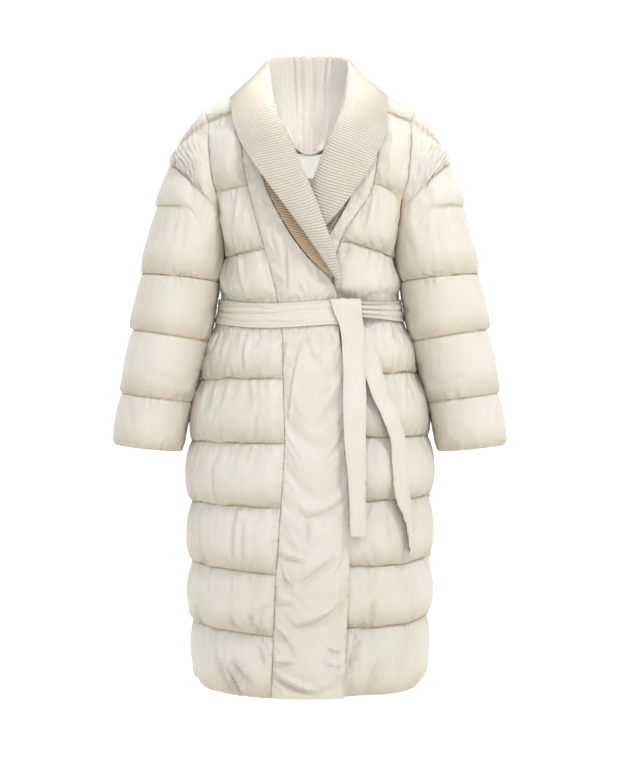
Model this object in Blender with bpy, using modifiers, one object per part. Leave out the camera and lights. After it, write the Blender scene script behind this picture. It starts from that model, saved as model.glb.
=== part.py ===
"""A long quilted down wrap coat with a rib-knit shawl collar and a tied fabric belt.

The coat keeps the hollow shape of the figure that would wear it: neck, hem and cuffs are open.
Units are metres, +Z is up, -Y is the front and +X is the coat's left-hand side.
The origin lies midway between the two shoulder points, where the wearer carries the coat.
Every panel starts as a grid. It is moved onto the coat's surface by the functions below, and
Solidify gives it a wall whose thickness follows the down filling between the quilting lines.
"""
import math
from collections import namedtuple

import bmesh
import bpy
import numpy as np

# ---------------------------------------------------------------- driving dimensions
HEM = -1.128                # height of the hem
ARMPIT = -0.310             # height of the lowest point of the armhole
YOKE = -0.140               # above this height the body rounds over to the shoulder line
SHOULDER_Y = 0.010          # the shoulder line lies this far behind the origin
SHOULDER_SPREAD = 0.079     # how much wider the yoke is at the shoulder line than at its foot
ARMHOLE_DEPTH = 0.085       # half the front-to-back width of an armhole
ARMHOLE_MIDDLE = -0.170     # height of the armhole's widest point
NECK_HALF = 0.085           # half the width of the neck opening at the shoulder line
BACK_NECK_DROP = 0.106      # the neckline's drop at the centre of the back, along the panel
SHOULDER_ROUNDNESS = 0.9    # exponent of the yoke's rounding over to the shoulder line
LAP_INSET = 0.016           # how far the left front lies inside the right front
LAP_EDGE = 0.085            # x from which the left front comes out to the coat's surface
LAP_EASE = 0.070            # and the width over which it does
LAP_TOP = -0.120            # height at which the fronts begin to overlap
LAP_RUN = 0.120             # and the height over which the left one sinks in
SEAM_GAP = 0.0003           # clearance between two pieces at a seam
FABRIC_WALL = 0.002         # shell, a little down and lining where a quilting line is sewn
COLLAR_WALL = 0.004
COLLAR_SEAM_GAP = 0.0022    # clearance of the thick collar's faceted edge at the neckline
FALL_LIFT = 0.010           # how far the collar's fall arches over the shoulder
BELT_HEIGHT = 0.045
BELT_WALL = 0.003
BELT_STANDOFF = 0.0042      # from the coat's sewn surface to the inside of the belt
WAIST = -0.411              # height of the belt's middle at the sides
WAIST_WIDTH = 0.17          # half width and depths of the waist where the belt's height is set
WAIST_DEPTH = 0.12
WAIST_FRONT = 0.122
BELT_DIP = 0.012            # how far the belt dips at the front, towards the knot
DIP_BEHIND = 0.2            # share of the depth, behind the middle, at which the dip begins
BELT_WAVE = 0.004           # height and pitch of the belt's gentle wave across the front
BELT_WAVE_RUN = 0.05
BELT_CLEARANCE = 0.006      # the down stays flat this far from the belt's edges
BELT_EASE = 0.035           # and is full again this much further on
SEAM_EASE = 0.030           # distance from a seam at which the down is full
SETTLE = 1.36               # exponent that moves a channel's belly below its middle
ROUNDNESS = 0.6             # exponent that makes a channel's section full and round
SIDE_FILL = 0.15            # share of the filling left on the side seams beside the arms
HIP_FILL = 0.40             # and how much more below the hips
HIP_TOP = -0.420
HIP_EASE = 0.100

SHOULDER_TRIM = 0.0001      # the panels stop this far, along the panel, from the shoulder line
UNDERARM_EASE = 0.0056      # how far the sleeve's underarm stands off the body
UNDERARM_SPREAD = 1.5       # exponent that keeps that ease near the underarm
NARROW_CHANNEL = 0.004      # least height of a sleeve channel, where two lines meet
INNER_ARM_LOSS = 0.6        # share of the filling pressed flat on the inner side of a sleeve
CAP_DEPTH = 0.008           # fullness of the sleeve cap to front and back
CAP_HIGH = 0.7              # exponent that moves the cap's fullness towards the armhole
CAP_LEAN = (0.93, 0.37)     # direction, outward and up, in which the cap stands out
BAND_FILL = 0.003           # light filling of the plain front bands
BAND_EDGE_FILL = 0.4        # share of it left on a band's free edge
MERGE_DISTANCE = 0.00002    # points closer than this are one point
TOLERANCE = 0.001           # slack when a height or angle is compared with a limit

# Facets: columns across each piece
FRONT_COLUMNS = 7
BAND_COLUMNS = 4
NECK_SHARES = (0.0, 0.25, 0.50, 0.72, 0.88, 1.0)    # the back's columns below the neck opening
OUTER_BACK_COLUMNS = 3      # the back's columns from the neck to each side
COLLAR_ROWS = 8
BELT_COLUMNS = 34
BELT_ROWS = 2
TAIL_COLUMNS = 2
TAIL_ROWS = 14
LABEL_COLUMNS = 4
LABEL_ROWS = 2

Fold = namedtuple("Fold", "top_x top_z bottom_x bottom_z half_width height")
BAND_FOLDS = (
    Fold(-0.115, -0.130, -0.045, -0.400, 0.012, 0.005),
    Fold(-0.075, -0.160, -0.015, -0.400, 0.012, 0.005),
    Fold(-0.010, -0.430, -0.030, -0.620, 0.012, 0.004),
    Fold(0.050, -0.700, -0.020, -1.120, 0.020, 0.004),
)

# Quilting lines of the body, as heights measured along the panel, from the shoulder to the hem
BODY_LINES = (0.0, -0.095, -0.185, ARMPIT, -0.427, -0.544, -0.662, -0.780, -0.8955, -1.011, HEM)
BODY_FILL = (0.006, 0.009, 0.012, 0.010, 0.012, 0.014, 0.014, 0.014, 0.014, 0.012)
ROW_STEPS = (0.0, 0.30, 0.75)       # where each quilted channel has its rows
BELOW_WAIST = 4                     # the channel just under the belt
BELOW_WAIST_STEPS = (0.0, 0.20, 0.45, 0.75)
COLLAR_END = ARMPIT + 0.30 * (BODY_LINES[4] - ARMPIT)   # where the collar ends on each front

Ring = namedtuple("Ring", "height half_width front back")
BODY_RINGS = (
    Ring(HEM, 0.207, 0.156, 0.156),
    Ring(-1.028, 0.217, 0.155, 0.155),
    Ring(-0.896, 0.222, 0.152, 0.153),
    Ring(-0.790, 0.222, 0.149, 0.151),
    Ring(-0.663, 0.223, 0.145, 0.148),
    Ring(-0.604, 0.215, 0.141, 0.142),
    Ring(-0.549, 0.204, 0.137, 0.134),
    Ring(-0.500, 0.190, 0.132, 0.124),
    Ring(-0.447, 0.174, 0.126, 0.114),
    Ring(-0.411, 0.164, 0.122, 0.110),
    Ring(-0.364, 0.160, 0.127, 0.113),
    Ring(ARMPIT, 0.160, 0.136, 0.119),
    Ring(-0.230, 0.168, 0.141, 0.125),
    Ring(YOKE, 0.178, 0.135, 0.122),
)

Shoulder = namedtuple("Shoulder", "x height")
SHOULDER_LINE = (
    Shoulder(0.000, 0.012),
    Shoulder(0.085, 0.003),
    Shoulder(0.151, -0.012),
    Shoulder(0.192, -0.034),
    Shoulder(0.230, -0.060),
)

Edge = namedtuple("Edge", "height x")
RIGHT_BAND_SEAM = (
    Edge(HEM, -0.070), Edge(-1.010, -0.066), Edge(-0.895, -0.061), Edge(-0.780, -0.053),
    Edge(-0.660, -0.046), Edge(-0.544, -0.049), Edge(-0.427, -0.053), Edge(-0.310, -0.081),
    Edge(-0.220, -0.106), Edge(YOKE, -0.123), Edge(0.000, -0.126),
)
RIGHT_FREE_EDGE = (
    Edge(HEM, 0.062), Edge(-1.000, 0.067), Edge(-0.850, 0.073), Edge(-0.700, 0.070),
    Edge(-0.550, 0.064), Edge(-0.435, 0.051), Edge(-0.364, 0.040), Edge(-0.318, -0.005),
    Edge(-0.235, -0.060), Edge(-0.170, -0.087), Edge(-0.090, -0.088), Edge(0.000, -NECK_HALF),
)
LEFT_BAND_SEAM = (
    Edge(HEM, 0.055), Edge(-0.780, 0.053), Edge(-0.544, 0.052), Edge(-0.427, 0.046),
    Edge(-0.350, 0.042), Edge(-0.290, 0.055), Edge(-0.183, 0.117), Edge(YOKE, 0.124),
    Edge(0.000, 0.126),
)
LEFT_FREE_EDGE = (
    Edge(HEM, -0.062), Edge(-0.850, -0.066), Edge(-0.550, -0.062), Edge(-0.435, -0.050),
    Edge(-0.364, -0.040), Edge(-0.318, 0.005), Edge(-0.235, 0.060), Edge(-0.170, 0.087),
    Edge(-0.090, 0.088), Edge(0.000, NECK_HALF),
)

# Sleeve sections, from the first full ring below the armhole to the cuff
Section = namedtuple("Section", "outer_x outer_z inner_x inner_z half_depth middle_y")
SLEEVE_SECTIONS = (
    Section(0.316, -0.343, 0.180, -0.357, 0.068, -0.016),
    Section(0.337, -0.450, 0.203, -0.471, 0.068, -0.020),
    Section(0.359, -0.571, 0.234, -0.587, 0.066, -0.022),
    Section(0.374, -0.669, 0.251, -0.681, 0.062, -0.024),
)
CAP_ROWS = (0.0, 0.12, 0.28, 0.46, 0.64, 0.82)   # rows between the armhole and the first section
CAP_FULLNESS = 0.031        # how far the gathered sleeve cap stands out from a straight run

# Quilting lines of a sleeve, each straight from its outer end to its inner end
Line = namedtuple("Line", "outer_x outer_z inner_x inner_z fill_below")
SLEEVE_LINES = (
    Line(0.262, -0.020, 0.185, 0.030, 0.005),
    Line(0.262, -0.122, 0.185, -0.088, 0.006),
    Line(0.266, -0.130, 0.180, -0.217, 0.010),
    Line(0.289, -0.214, 0.180, -0.2285, 0.011),
    Line(0.316, -0.343, 0.180, -0.357, 0.011),
    Line(0.337, -0.450, 0.203, -0.471, 0.011),
    Line(0.359, -0.571, 0.234, -0.587, 0.010),
    Line(0.372, -0.660, 0.250, -0.672, 0.002),
    Line(0.374, -0.669, 0.251, -0.681, 0.002),
)

# Collar stations, from the right front's tip (-1) round the back neck (0) to the left tip (1):
# the crest of the roll line and the free edge of the fall. The seam follows the neckline.
Station = namedtuple("Station", "place roll_x roll_y roll_z edge_x edge_y edge_z")
COLLAR_STATIONS = (
    Station(-1.00, 0.059, -0.136, -0.362, 0.057, -0.142, -0.373),
    Station(-0.88, 0.046, -0.147, -0.312, 0.022, -0.156, -0.316),
    Station(-0.76, 0.027, -0.156, -0.260, -0.009, -0.160, -0.271),
    Station(-0.64, 0.005, -0.158, -0.203, -0.044, -0.158, -0.225),
    Station(-0.54, -0.013, -0.153, -0.162, -0.077, -0.151, -0.186),
    Station(-0.45, -0.029, -0.145, -0.122, -0.107, -0.139, -0.142),
    Station(-0.37, -0.044, -0.133, -0.077, -0.129, -0.124, -0.103),
    Station(-0.29, -0.058, -0.093, -0.025, -0.144, -0.105, -0.058),
    Station(-0.21, -0.070, -0.046, 0.025, -0.155, -0.046, -0.010),
    Station(-0.14, -0.078, 0.022, 0.073, -0.158, 0.036, 0.007),
    Station(-0.07, -0.052, 0.076, 0.094, -0.106, 0.110, -0.040),
    Station(0.00, 0.000, 0.093, 0.100, 0.000, 0.138, -0.070),
    Station(0.07, 0.052, 0.076, 0.094, 0.106, 0.110, -0.040),
    Station(0.14, 0.080, 0.022, 0.073, 0.156, 0.036, 0.007),
    Station(0.21, 0.073, -0.042, 0.019, 0.150, -0.066, -0.013),
    Station(0.29, 0.060, -0.095, -0.037, 0.141, -0.124, -0.083),
    Station(0.37, 0.043, -0.137, -0.094, 0.124, -0.135, -0.130),
    Station(0.45, 0.024, -0.145, -0.133, 0.106, -0.142, -0.164),
    Station(0.54, 0.010, -0.144, -0.170, 0.083, -0.146, -0.197),
    Station(0.64, -0.005, -0.136, -0.203, 0.055, -0.145, -0.234),
    Station(0.76, -0.027, -0.126, -0.260, 0.022, -0.138, -0.270),
    Station(0.88, -0.046, -0.117, -0.312, -0.018, -0.124, -0.316),
    Station(1.00, -0.058, -0.107, -0.362, -0.056, -0.109, -0.371),
)
COLLAR_SHOULDER = 0.20      # the place, along the collar, of the shoulder line
ROLL_REACH = 0.013          # handle of the soft fold at the roll line
FULL_FALL = 0.06            # length of the fall from which that handle is whole
CURVE_HANDLE = 0.45         # other handles of the collar's curves, as a share of their length

# The belt's two tails: level rows from the belt down to the tip, with both edges of the strap
Strap = namedtuple("Strap", "place left_x left_y right_x right_y height")
FRONT_TAIL = (
    Strap(0.00, 0.049, -0.1120, 0.096, -0.1020, -0.3840),
    Strap(0.03, 0.047, -0.1185, 0.099, -0.1085, -0.3810),
    Strap(0.06, 0.046, -0.1245, 0.101, -0.1135, -0.3900),
    Strap(0.13, 0.053, -0.1258, 0.103, -0.1145, -0.4300),
    Strap(0.25, 0.060, -0.1381, 0.107, -0.1295, -0.5000),
    Strap(0.37, 0.064, -0.1522, 0.108, -0.1450, -0.5600),
    Strap(0.55, 0.069, -0.1620, 0.107, -0.1550, -0.6500),
    Strap(0.78, 0.073, -0.1650, 0.106, -0.1580, -0.7350),
    Strap(1.00, 0.077, -0.1680, 0.106, -0.1600, -0.8330),
)
SIDE_TAIL = (
    Strap(0.00, 0.082, -0.1125, 0.112, -0.1005, -0.4500),
    Strap(0.15, 0.092, -0.1240, 0.126, -0.1140, -0.5000),
    Strap(0.30, 0.110, -0.1380, 0.143, -0.1275, -0.5650),
    Strap(0.42, 0.131, -0.1415, 0.163, -0.1290, -0.6100),
    Strap(0.54, 0.149, -0.1380, 0.177, -0.1200, -0.6600),
    Strap(0.66, 0.152, -0.1372, 0.181, -0.1152, -0.7150),
    Strap(0.78, 0.159, -0.1372, 0.185, -0.1112, -0.7700),
    Strap(0.88, 0.178, -0.1352, 0.191, -0.1052, -0.8150),
    Strap(1.00, 0.186, -0.1332, 0.190, -0.0992, -0.8670),
)

Label = namedtuple("Label", "half_width top bottom wall")
NECK_LABEL = Label(0.027, -0.109, -0.138, 0.0006)
LABEL_STANDOFF = 0.0022     # the label hangs clear of the lining, from the collar seam


# ---------------------------------------------------------------- curves and surfaces
def read(table, column, at, key="height"):
    """Smooth value of one column of a table, at one or more places along its key column."""
    rows = sorted(table, key=lambda row: getattr(row, key))
    knots = np.array([getattr(row, key) for row in rows])
    values = np.array([getattr(row, column) for row in rows])
    slopes = np.gradient(values, knots)
    place = np.clip(at, knots[0], knots[-1])
    low = np.clip(np.searchsorted(knots, place, side="right") - 1, 0, len(knots) - 2)
    step = knots[low + 1] - knots[low]
    along = (place - knots[low]) / step
    rest = 1.0 - along
    start = values[low] * (1.0 + 2.0 * along) * rest ** 2 + step * slopes[low] * along * rest ** 2
    end = values[low + 1] * along ** 2 * (3.0 - 2.0 * along) - step * slopes[low + 1] * along ** 2 * rest
    return start + end


def ease(value):
    """Smooth step from 0 to 1 as value goes from 0 to 1."""
    value = np.clip(value, 0.0, 1.0)
    return value * value * (3.0 - 2.0 * value)


def armhole_half_depth(height):
    """Half the armhole's front-to-back width; it is 0 at the armpit and below it."""
    level = np.clip((height - ARMHOLE_MIDDLE) / (ARMHOLE_MIDDLE - ARMPIT), -1.0, 1.0)
    return ARMHOLE_DEPTH * np.sqrt(1.0 - level ** 2)


def ring_size(height, facing):
    """Half width and depth of the full ring that a front (-1) or back (+1) panel lies on."""
    level = np.minimum(height, YOKE)
    depth = read(BODY_RINGS, "front" if facing < 0 else "back", level)
    edge = read(BODY_RINGS, "half_width", level)
    half_width = edge / np.sqrt(1.0 - (armhole_half_depth(level) / depth) ** 2)
    return half_width, depth


def yoke_turn(height):
    """Angle through which the yoke has rounded over at a height, 0 below it."""
    return np.clip((height - YOKE) / -YOKE, 0.0, 1.0) * math.pi / 2


def side_turn(height, facing):
    """Angle round the ring at which a panel ends, at its side seam or at the armhole."""
    half_width, _ = ring_size(height, facing)
    edge = read(BODY_RINGS, "half_width", np.minimum(height, YOKE))
    return np.arcsin(np.clip(edge / half_width, -1.0, 1.0))


def turn_at(x, height, facing):
    """Angle round the ring of the point of a panel that has this x."""
    half_width, _ = ring_size(height, facing)
    spread = 1.0 + SHOULDER_SPREAD * np.sin(yoke_turn(height))
    return np.arcsin(np.clip(x / (half_width * spread), -1.0, 1.0))


def body_point(turn, height, facing):
    """Points of the coat's sewn surface. The height is measured along the panel in the yoke."""
    half_width, depth = ring_size(height, facing)
    over = yoke_turn(height)
    x = half_width * np.sin(turn) * (1.0 + SHOULDER_SPREAD * np.sin(over))
    level_y = facing * depth * np.cos(turn)
    y = SHOULDER_Y + (level_y - SHOULDER_Y) * np.cos(over) ** SHOULDER_ROUNDNESS
    top = read(SHOULDER_LINE, "height", np.abs(x), key="x")
    z = np.minimum(height, YOKE) + (top - YOKE) * np.sin(over)
    return np.stack([x, y, z], axis=-1)


def lap_inset(x, height):
    """How far inside the coat's surface the left front lies, where the right front covers it."""
    return LAP_INSET * (1.0 - ease((x - LAP_EDGE) / LAP_EASE)) * ease((LAP_TOP - height) / LAP_RUN)


def belly(down):
    """Section of a filled channel, from 0 at its upper line to 0 at its lower line."""
    return np.sin(math.pi * down ** SETTLE) ** ROUNDNESS


def filling(height, lines, peaks):
    """Bulge of the down between quilting lines, fullest below the middle, where it settles."""
    lines = np.array(lines)
    zone = np.clip(np.searchsorted(-lines, -height, side="right") - 1, 0, len(peaks) - 1)
    down = np.clip((lines[zone] - height) / (lines[zone] - lines[zone + 1]), 0.0, 1.0)
    return np.array(peaks)[zone] * belly(down)


def belt_height(x, y):
    """Height of the belt's middle: it dips towards the knot at the front."""
    front = ease((-y / WAIST_FRONT + DIP_BEHIND) / (1.0 + DIP_BEHIND))
    return WAIST - BELT_DIP * front + BELT_WAVE * np.sin(x / BELT_WAVE_RUN) * front


def squeeze(points):
    """0 under the belt, rising to 1 a little above and below it."""
    away = np.abs(points[..., 2] - belt_height(points[..., 0], points[..., 1]))
    return ease((away - BELT_HEIGHT / 2 - BELT_CLEARANCE) / BELT_EASE)


def beside(distance, held=0.0):
    """Fullness of the filling at a distance from a seam; held is what is left on the seam."""
    near = np.clip(distance / SEAM_EASE, 0.0, 1.0)
    return held + (1.0 - held) * np.sqrt(1.0 - (1.0 - near) ** 2)


# ---------------------------------------------------------------- Blender helpers
def start_scene(name):
    """Empty the scene and make the collection that holds the coat."""
    for item in list(bpy.data.objects):
        bpy.data.objects.remove(item, do_unlink=True)
    collection = bpy.data.collections.new(name)
    bpy.context.scene.collection.children.link(collection)
    return collection


def make_material(name, colour, roughness):
    """A plain Principled material."""
    material = bpy.data.materials.new(name)
    material.use_nodes = True
    shader = material.node_tree.nodes["Principled BSDF"]
    shader.inputs["Base Color"].default_value = (*colour, 1.0)
    shader.inputs["Roughness"].default_value = roughness
    shader.inputs["Metallic"].default_value = 0.0
    return material


def row_places():
    """Heights of the rows of every body panel, from the hem up to the shoulder line."""
    places = [HEM]
    for channel, (top, bottom) in enumerate(zip(BODY_LINES, BODY_LINES[1:])):
        steps = BELOW_WAIST_STEPS if channel == BELOW_WAIST else ROW_STEPS
        places += [top + (bottom - top) * step for step in steps]
    return np.minimum(np.sort(places), -SHOULDER_TRIM)


def cloth(collection, name, columns, rows, place, wall, material, offset=1.0, flip=False):
    """Move a grid onto place(u, v) and thicken it by wall(u, v), a thickness or a function.

    u and v run from 0 to 1. Points that meet, as round a sleeve, are merged.
    """
    shape = bmesh.new()
    bmesh.ops.create_grid(shape, x_segments=columns, y_segments=rows, size=0.5)
    u = np.array([vert.co.x + 0.5 for vert in shape.verts])
    v = np.array([vert.co.y + 0.5 for vert in shape.verts])
    points = place(u, v)
    walls = wall(u, v) if callable(wall) else np.full(len(u), wall)
    thickness = shape.verts.layers.float.new("thickness")
    for vert, point, value in zip(shape.verts, points, walls):
        vert.co = point
        vert[thickness] = value
    bmesh.ops.remove_doubles(shape, verts=shape.verts, dist=MERGE_DISTANCE)
    if flip:
        bmesh.ops.reverse_faces(shape, faces=shape.faces)
    thickest = float(walls.max())
    weights = [vert[thickness] / thickest for vert in shape.verts]
    mesh = bpy.data.meshes.new(name)
    shape.to_mesh(mesh)
    shape.free()
    mesh.shade_smooth()
    item = bpy.data.objects.new(name, mesh)
    collection.objects.link(item)
    mesh.materials.append(material)
    group = item.vertex_groups.new(name="wall")
    for index, weight in enumerate(weights):
        group.add([index], weight, "REPLACE")
    solid = item.modifiers.new("Wall", "SOLIDIFY")
    solid.thickness = thickest
    solid.offset = offset
    solid.use_even_offset = False
    solid.vertex_group = group.name
    return item


# ---------------------------------------------------------------- fronts, bands and back
def spread(share, places):
    """Value of an ordered list at a share of its length, 0 to 1."""
    return np.interp(share, np.linspace(0.0, 1.0, len(places)), places)


def panel_rows(v):
    """Height of each row of a body panel, from the hem up, with rows on the quilting lines."""
    return spread(v, row_places())


def seam_turn(table):
    """Return the turn of a front's edge as a function of height, from its table of x."""
    return lambda height: turn_at(read(table, "x", height), height, -1)


def front_piece(start, end, lap=False):
    """Return turn_height(u, v) and place(u, v) of a front piece between two edges."""
    def turn_height(u, v):
        height = panel_rows(v)
        gap = SEAM_GAP / ring_size(height, -1)[0]
        first, last = start(height) + gap, end(height) - gap
        return first + (last - first) * u, height

    def place(u, v):
        turn, height = turn_height(u, v)
        points = body_point(turn, height, -1)
        if lap:
            points[..., 1] += lap_inset(points[..., 0], height)
        return points

    return turn_height, place


def quilted_wall(start, end, side_at_start, piece):
    """Return wall(u, v) of a quilted front between its side and its band seam."""
    turn_height, place = piece

    def wall(u, v):
        turn, height = turn_height(u, v)
        half_width, _ = ring_size(height, -1)
        from_start = np.abs(turn - start(height)) * half_width
        from_end = np.abs(end(height) - turn) * half_width
        side, band = (from_start, from_end) if side_at_start else (from_end, from_start)
        full = np.minimum(beside(side, side_fullness(height)), beside(band))
        return FABRIC_WALL + filling(height, BODY_LINES, BODY_FILL) * full * squeeze(place(u, v))

    return wall


def side_fullness(height):
    """Filling left on the side seam: less beside the arm than below it."""
    return np.where(height > ARMPIT, 0.0, SIDE_FILL + HIP_FILL * ease((HIP_TOP - height) / HIP_EASE))


def band_wall(piece, seam, edge):
    """Return wall(u, v) of a plain band, lightly filled, with its long soft folds."""
    turn_height, place = piece

    def wall(u, v):
        turn, height = turn_height(u, v)
        half_width, _ = ring_size(height, -1)
        full = beside(np.abs(turn - seam(height)) * half_width)
        edge_full = beside(np.abs(edge(height) - turn) * half_width, BAND_EDGE_FILL)
        points = place(u, v)
        folds = sum(fold_height(points, fold) for fold in BAND_FOLDS)
        return FABRIC_WALL + (BAND_FILL * np.minimum(full, edge_full) + folds * full) * squeeze(points)

    return wall


def fold_height(points, fold):
    """Height of one long fold: a soft ridge along the line between its two ends."""
    along = np.clip((fold.top_z - points[..., 2]) / (fold.top_z - fold.bottom_z), 0.0, 1.0)
    middle = fold.top_x + (fold.bottom_x - fold.top_x) * along
    across = (points[..., 0] - middle) / fold.half_width
    return fold.height * np.exp(-across ** 2) * np.sin(math.pi * along)


def neck_top(column):
    """Height of the back's top edge, along the panel, at a column from -1 to 1 across it."""
    x = body_point(column * side_turn(0.0, 1), 0.0, 1)[..., 0]
    drop = BACK_NECK_DROP * (1.0 - np.clip(np.abs(x) / NECK_HALF, 0.0, 1.0) ** 2)
    return -np.maximum(drop, SHOULDER_TRIM)


def neck_column():
    """Column of the back, from 0 to 1, at which the neck opening ends."""
    return turn_at(NECK_HALF, 0.0, 1) / side_turn(0.0, 1)


def back_columns():
    """Columns of the back from 1 at its left side to -1; more of them below the neck."""
    neck = [share * neck_column() for share in NECK_SHARES]
    half = neck + list(np.linspace(neck[-1], 1.0, OUTER_BACK_COLUMNS + 1)[1:])
    return np.array(half[:0:-1] + [-place for place in half])


def back_turn_height(u, v):
    """Turn round the ring and height of the back's points; its top edge follows the neck."""
    column = spread(u, back_columns())
    height = panel_rows(v)
    neck_zone = BODY_LINES[2]
    climb = np.clip((height - neck_zone) / -neck_zone, 0.0, 1.0)
    height = np.where(height > neck_zone, neck_zone + (neck_top(column) - neck_zone) * climb, height)
    edge = side_turn(height, 1) - SEAM_GAP / ring_size(height, 1)[0]
    return column * edge, height


def back_place(u, v):
    """Points of the back's sewn surface."""
    return body_point(*back_turn_height(u, v), 1)


def back_wall(u, v):
    """Thickness of the quilted back."""
    turn, height = back_turn_height(u, v)
    side = (side_turn(height, 1) - np.abs(turn)) * ring_size(height, 1)[0]
    top = neck_top(spread(u, back_columns())) - height
    full = np.minimum(beside(side, side_fullness(height)), beside(top))
    return FABRIC_WALL + filling(height, BODY_LINES, BODY_FILL) * full * squeeze(back_place(u, v))


# ---------------------------------------------------------------- sleeves
def sleeve_angles():
    """Angles of the sleeve's columns; at the armhole they fall on the rows of the body."""
    rows = row_places()[::-1]
    front = np.arccos(np.clip(1.0 - 2.0 * rows[rows > ARMPIT - TOLERANCE] / ARMPIT, -1.0, 1.0))
    front[0], front[-1] = 0.0, math.pi
    return np.concatenate([front, 2.0 * math.pi - front[-2::-1]])


def armhole_point(angle):
    """Points of the armhole on the +X side: 0 is the shoulder, then front, armpit and back."""
    height = 0.5 * ARMPIT * (1.0 - np.cos(angle))
    height = np.minimum(height, -SHOULDER_TRIM)
    front = body_point(side_turn(height, -1), height, -1)
    back = body_point(side_turn(height, 1), height, 1)
    points = np.where((np.sin(angle) > -TOLERANCE)[..., None], front, back)
    under = (0.5 - 0.5 * np.cos(angle)) ** UNDERARM_SPREAD
    points[..., 0] += SEAM_GAP + UNDERARM_EASE * under
    return points


def section_point(angle, along):
    """Points of the sleeve's full rings; along counts sections down from the first."""
    keys = np.arange(len(SLEEVE_SECTIONS))
    size = {name: np.interp(along, keys, [getattr(section, name) for section in SLEEVE_SECTIONS])
            for name in Section._fields}
    outward = 0.5 + 0.5 * np.cos(angle)
    x = size["inner_x"] + (size["outer_x"] - size["inner_x"]) * outward
    z = size["inner_z"] + (size["outer_z"] - size["inner_z"]) * outward
    y = size["middle_y"] - size["half_depth"] * np.sin(angle)
    return np.stack([x, y, z], axis=-1)


def sleeve_place(u, v):
    """Points of the sewn surface of the sleeve on the +X side, from the armhole to the cuff."""
    angle = spread(u, sleeve_angles())
    rows = list(CAP_ROWS) + [1.0 + section + step for section in range(len(SLEEVE_SECTIONS) - 1)
                             for step in ROW_STEPS] + [float(len(SLEEVE_SECTIONS))]
    row = np.interp(v, np.linspace(0.0, 1.0, len(rows)), rows)
    cap = np.clip(row, 0.0, 1.0)[..., None]
    ring = section_point(angle, np.maximum(row - 1.0, 0.0))
    points = armhole_point(angle) * (1.0 - cap) + ring * cap
    bulge = CAP_FULLNESS * np.sin(math.pi * cap[..., 0] ** CAP_HIGH) * (0.5 + 0.5 * np.cos(angle))
    points[..., 0] += CAP_LEAN[0] * bulge
    points[..., 2] += CAP_LEAN[1] * bulge
    points[..., 1] -= CAP_DEPTH * np.sin(math.pi * cap[..., 0]) * np.sin(angle)
    return points


def sleeve_wall(u, v):
    """Thickness of a quilted sleeve, from the straight quilting lines that cross it."""
    points = sleeve_place(u, v)
    x, z = points[..., 0], points[..., 2]
    lines = np.stack([line.outer_z + (x - line.outer_x) * (line.outer_z - line.inner_z)
                      / (line.outer_x - line.inner_x) for line in SLEEVE_LINES])
    zone = np.clip((z <= lines).sum(axis=0) - 1, 0, len(SLEEVE_LINES) - 2)
    top = np.take_along_axis(lines, zone[None], axis=0)[0]
    bottom = np.take_along_axis(lines, zone[None] + 1, axis=0)[0]
    down = np.clip((top - z) / np.maximum(top - bottom, NARROW_CHANNEL), 0.0, 1.0)
    peak = np.array([line.fill_below for line in SLEEVE_LINES])[zone]
    angle = spread(u, sleeve_angles())
    inner = 1.0 - INNER_ARM_LOSS * (0.5 - 0.5 * np.cos(angle)) ** 2
    from_armhole = np.linalg.norm(points - armhole_point(angle), axis=-1)
    return FABRIC_WALL + peak * belly(down) * inner * beside(from_armhole)


def mirrored(place):
    """Return the same surface on the -X side."""
    return lambda u, v: place(u, v) * np.array([-1.0, 1.0, 1.0])


# ---------------------------------------------------------------- collar
def neckline(place):
    """Points of the neckline and the outward direction of the coat there."""
    front = np.abs(place) > COLLAR_SHOULDER
    height = COLLAR_END * (np.abs(place) - COLLAR_SHOULDER) / (1.0 - COLLAR_SHOULDER)
    height = np.where(front, height, 0.0)
    x = np.where(place < 0.0, read(RIGHT_FREE_EDGE, "x", height), read(LEFT_FREE_EDGE, "x", height))
    front_points = body_point(turn_at(x, height, -1), height, -1)
    front_points[..., 1] += np.where(place > 0.0, lap_inset(x, height), 0.0)
    column = neck_column() * np.sin(np.clip(place / COLLAR_SHOULDER, -1.0, 1.0) * math.pi / 2)
    back_height = neck_top(column)
    back_points = body_point(column * side_turn(back_height, 1), back_height, 1)
    points = np.where(front[..., None], front_points, back_points)
    over = yoke_turn(np.where(front, height, back_height))
    facing = np.where(front, -1.0, 1.0)
    outward = np.stack([np.zeros_like(over), facing * np.cos(over), np.sin(over)], axis=-1)
    return points, outward


def collar_places():
    """Places along the collar of its columns: on the rows of the bands, then across the back."""
    rows = [height for height in row_places() if height > COLLAR_END - TOLERANCE]
    front = [COLLAR_SHOULDER + (1.0 - COLLAR_SHOULDER) * height / COLLAR_END for height in rows]
    back = [COLLAR_SHOULDER * math.asin(share) / (math.pi / 2) for share in NECK_SHARES[:-1]]
    half = sorted(back + front)
    return np.array([-place for place in half[:0:-1]] + half)


def bezier(ends, along):
    """Points along a cubic curve with four control points."""
    along = along[..., None]
    rest = 1.0 - along
    return (ends[0] * rest ** 3 + 3.0 * ends[1] * along * rest ** 2
            + 3.0 * ends[2] * along ** 2 * rest + ends[3] * along ** 3)


def unit(vectors):
    """Vectors scaled to length 1."""
    return vectors / np.linalg.norm(vectors, axis=-1, keepdims=True)


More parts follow.
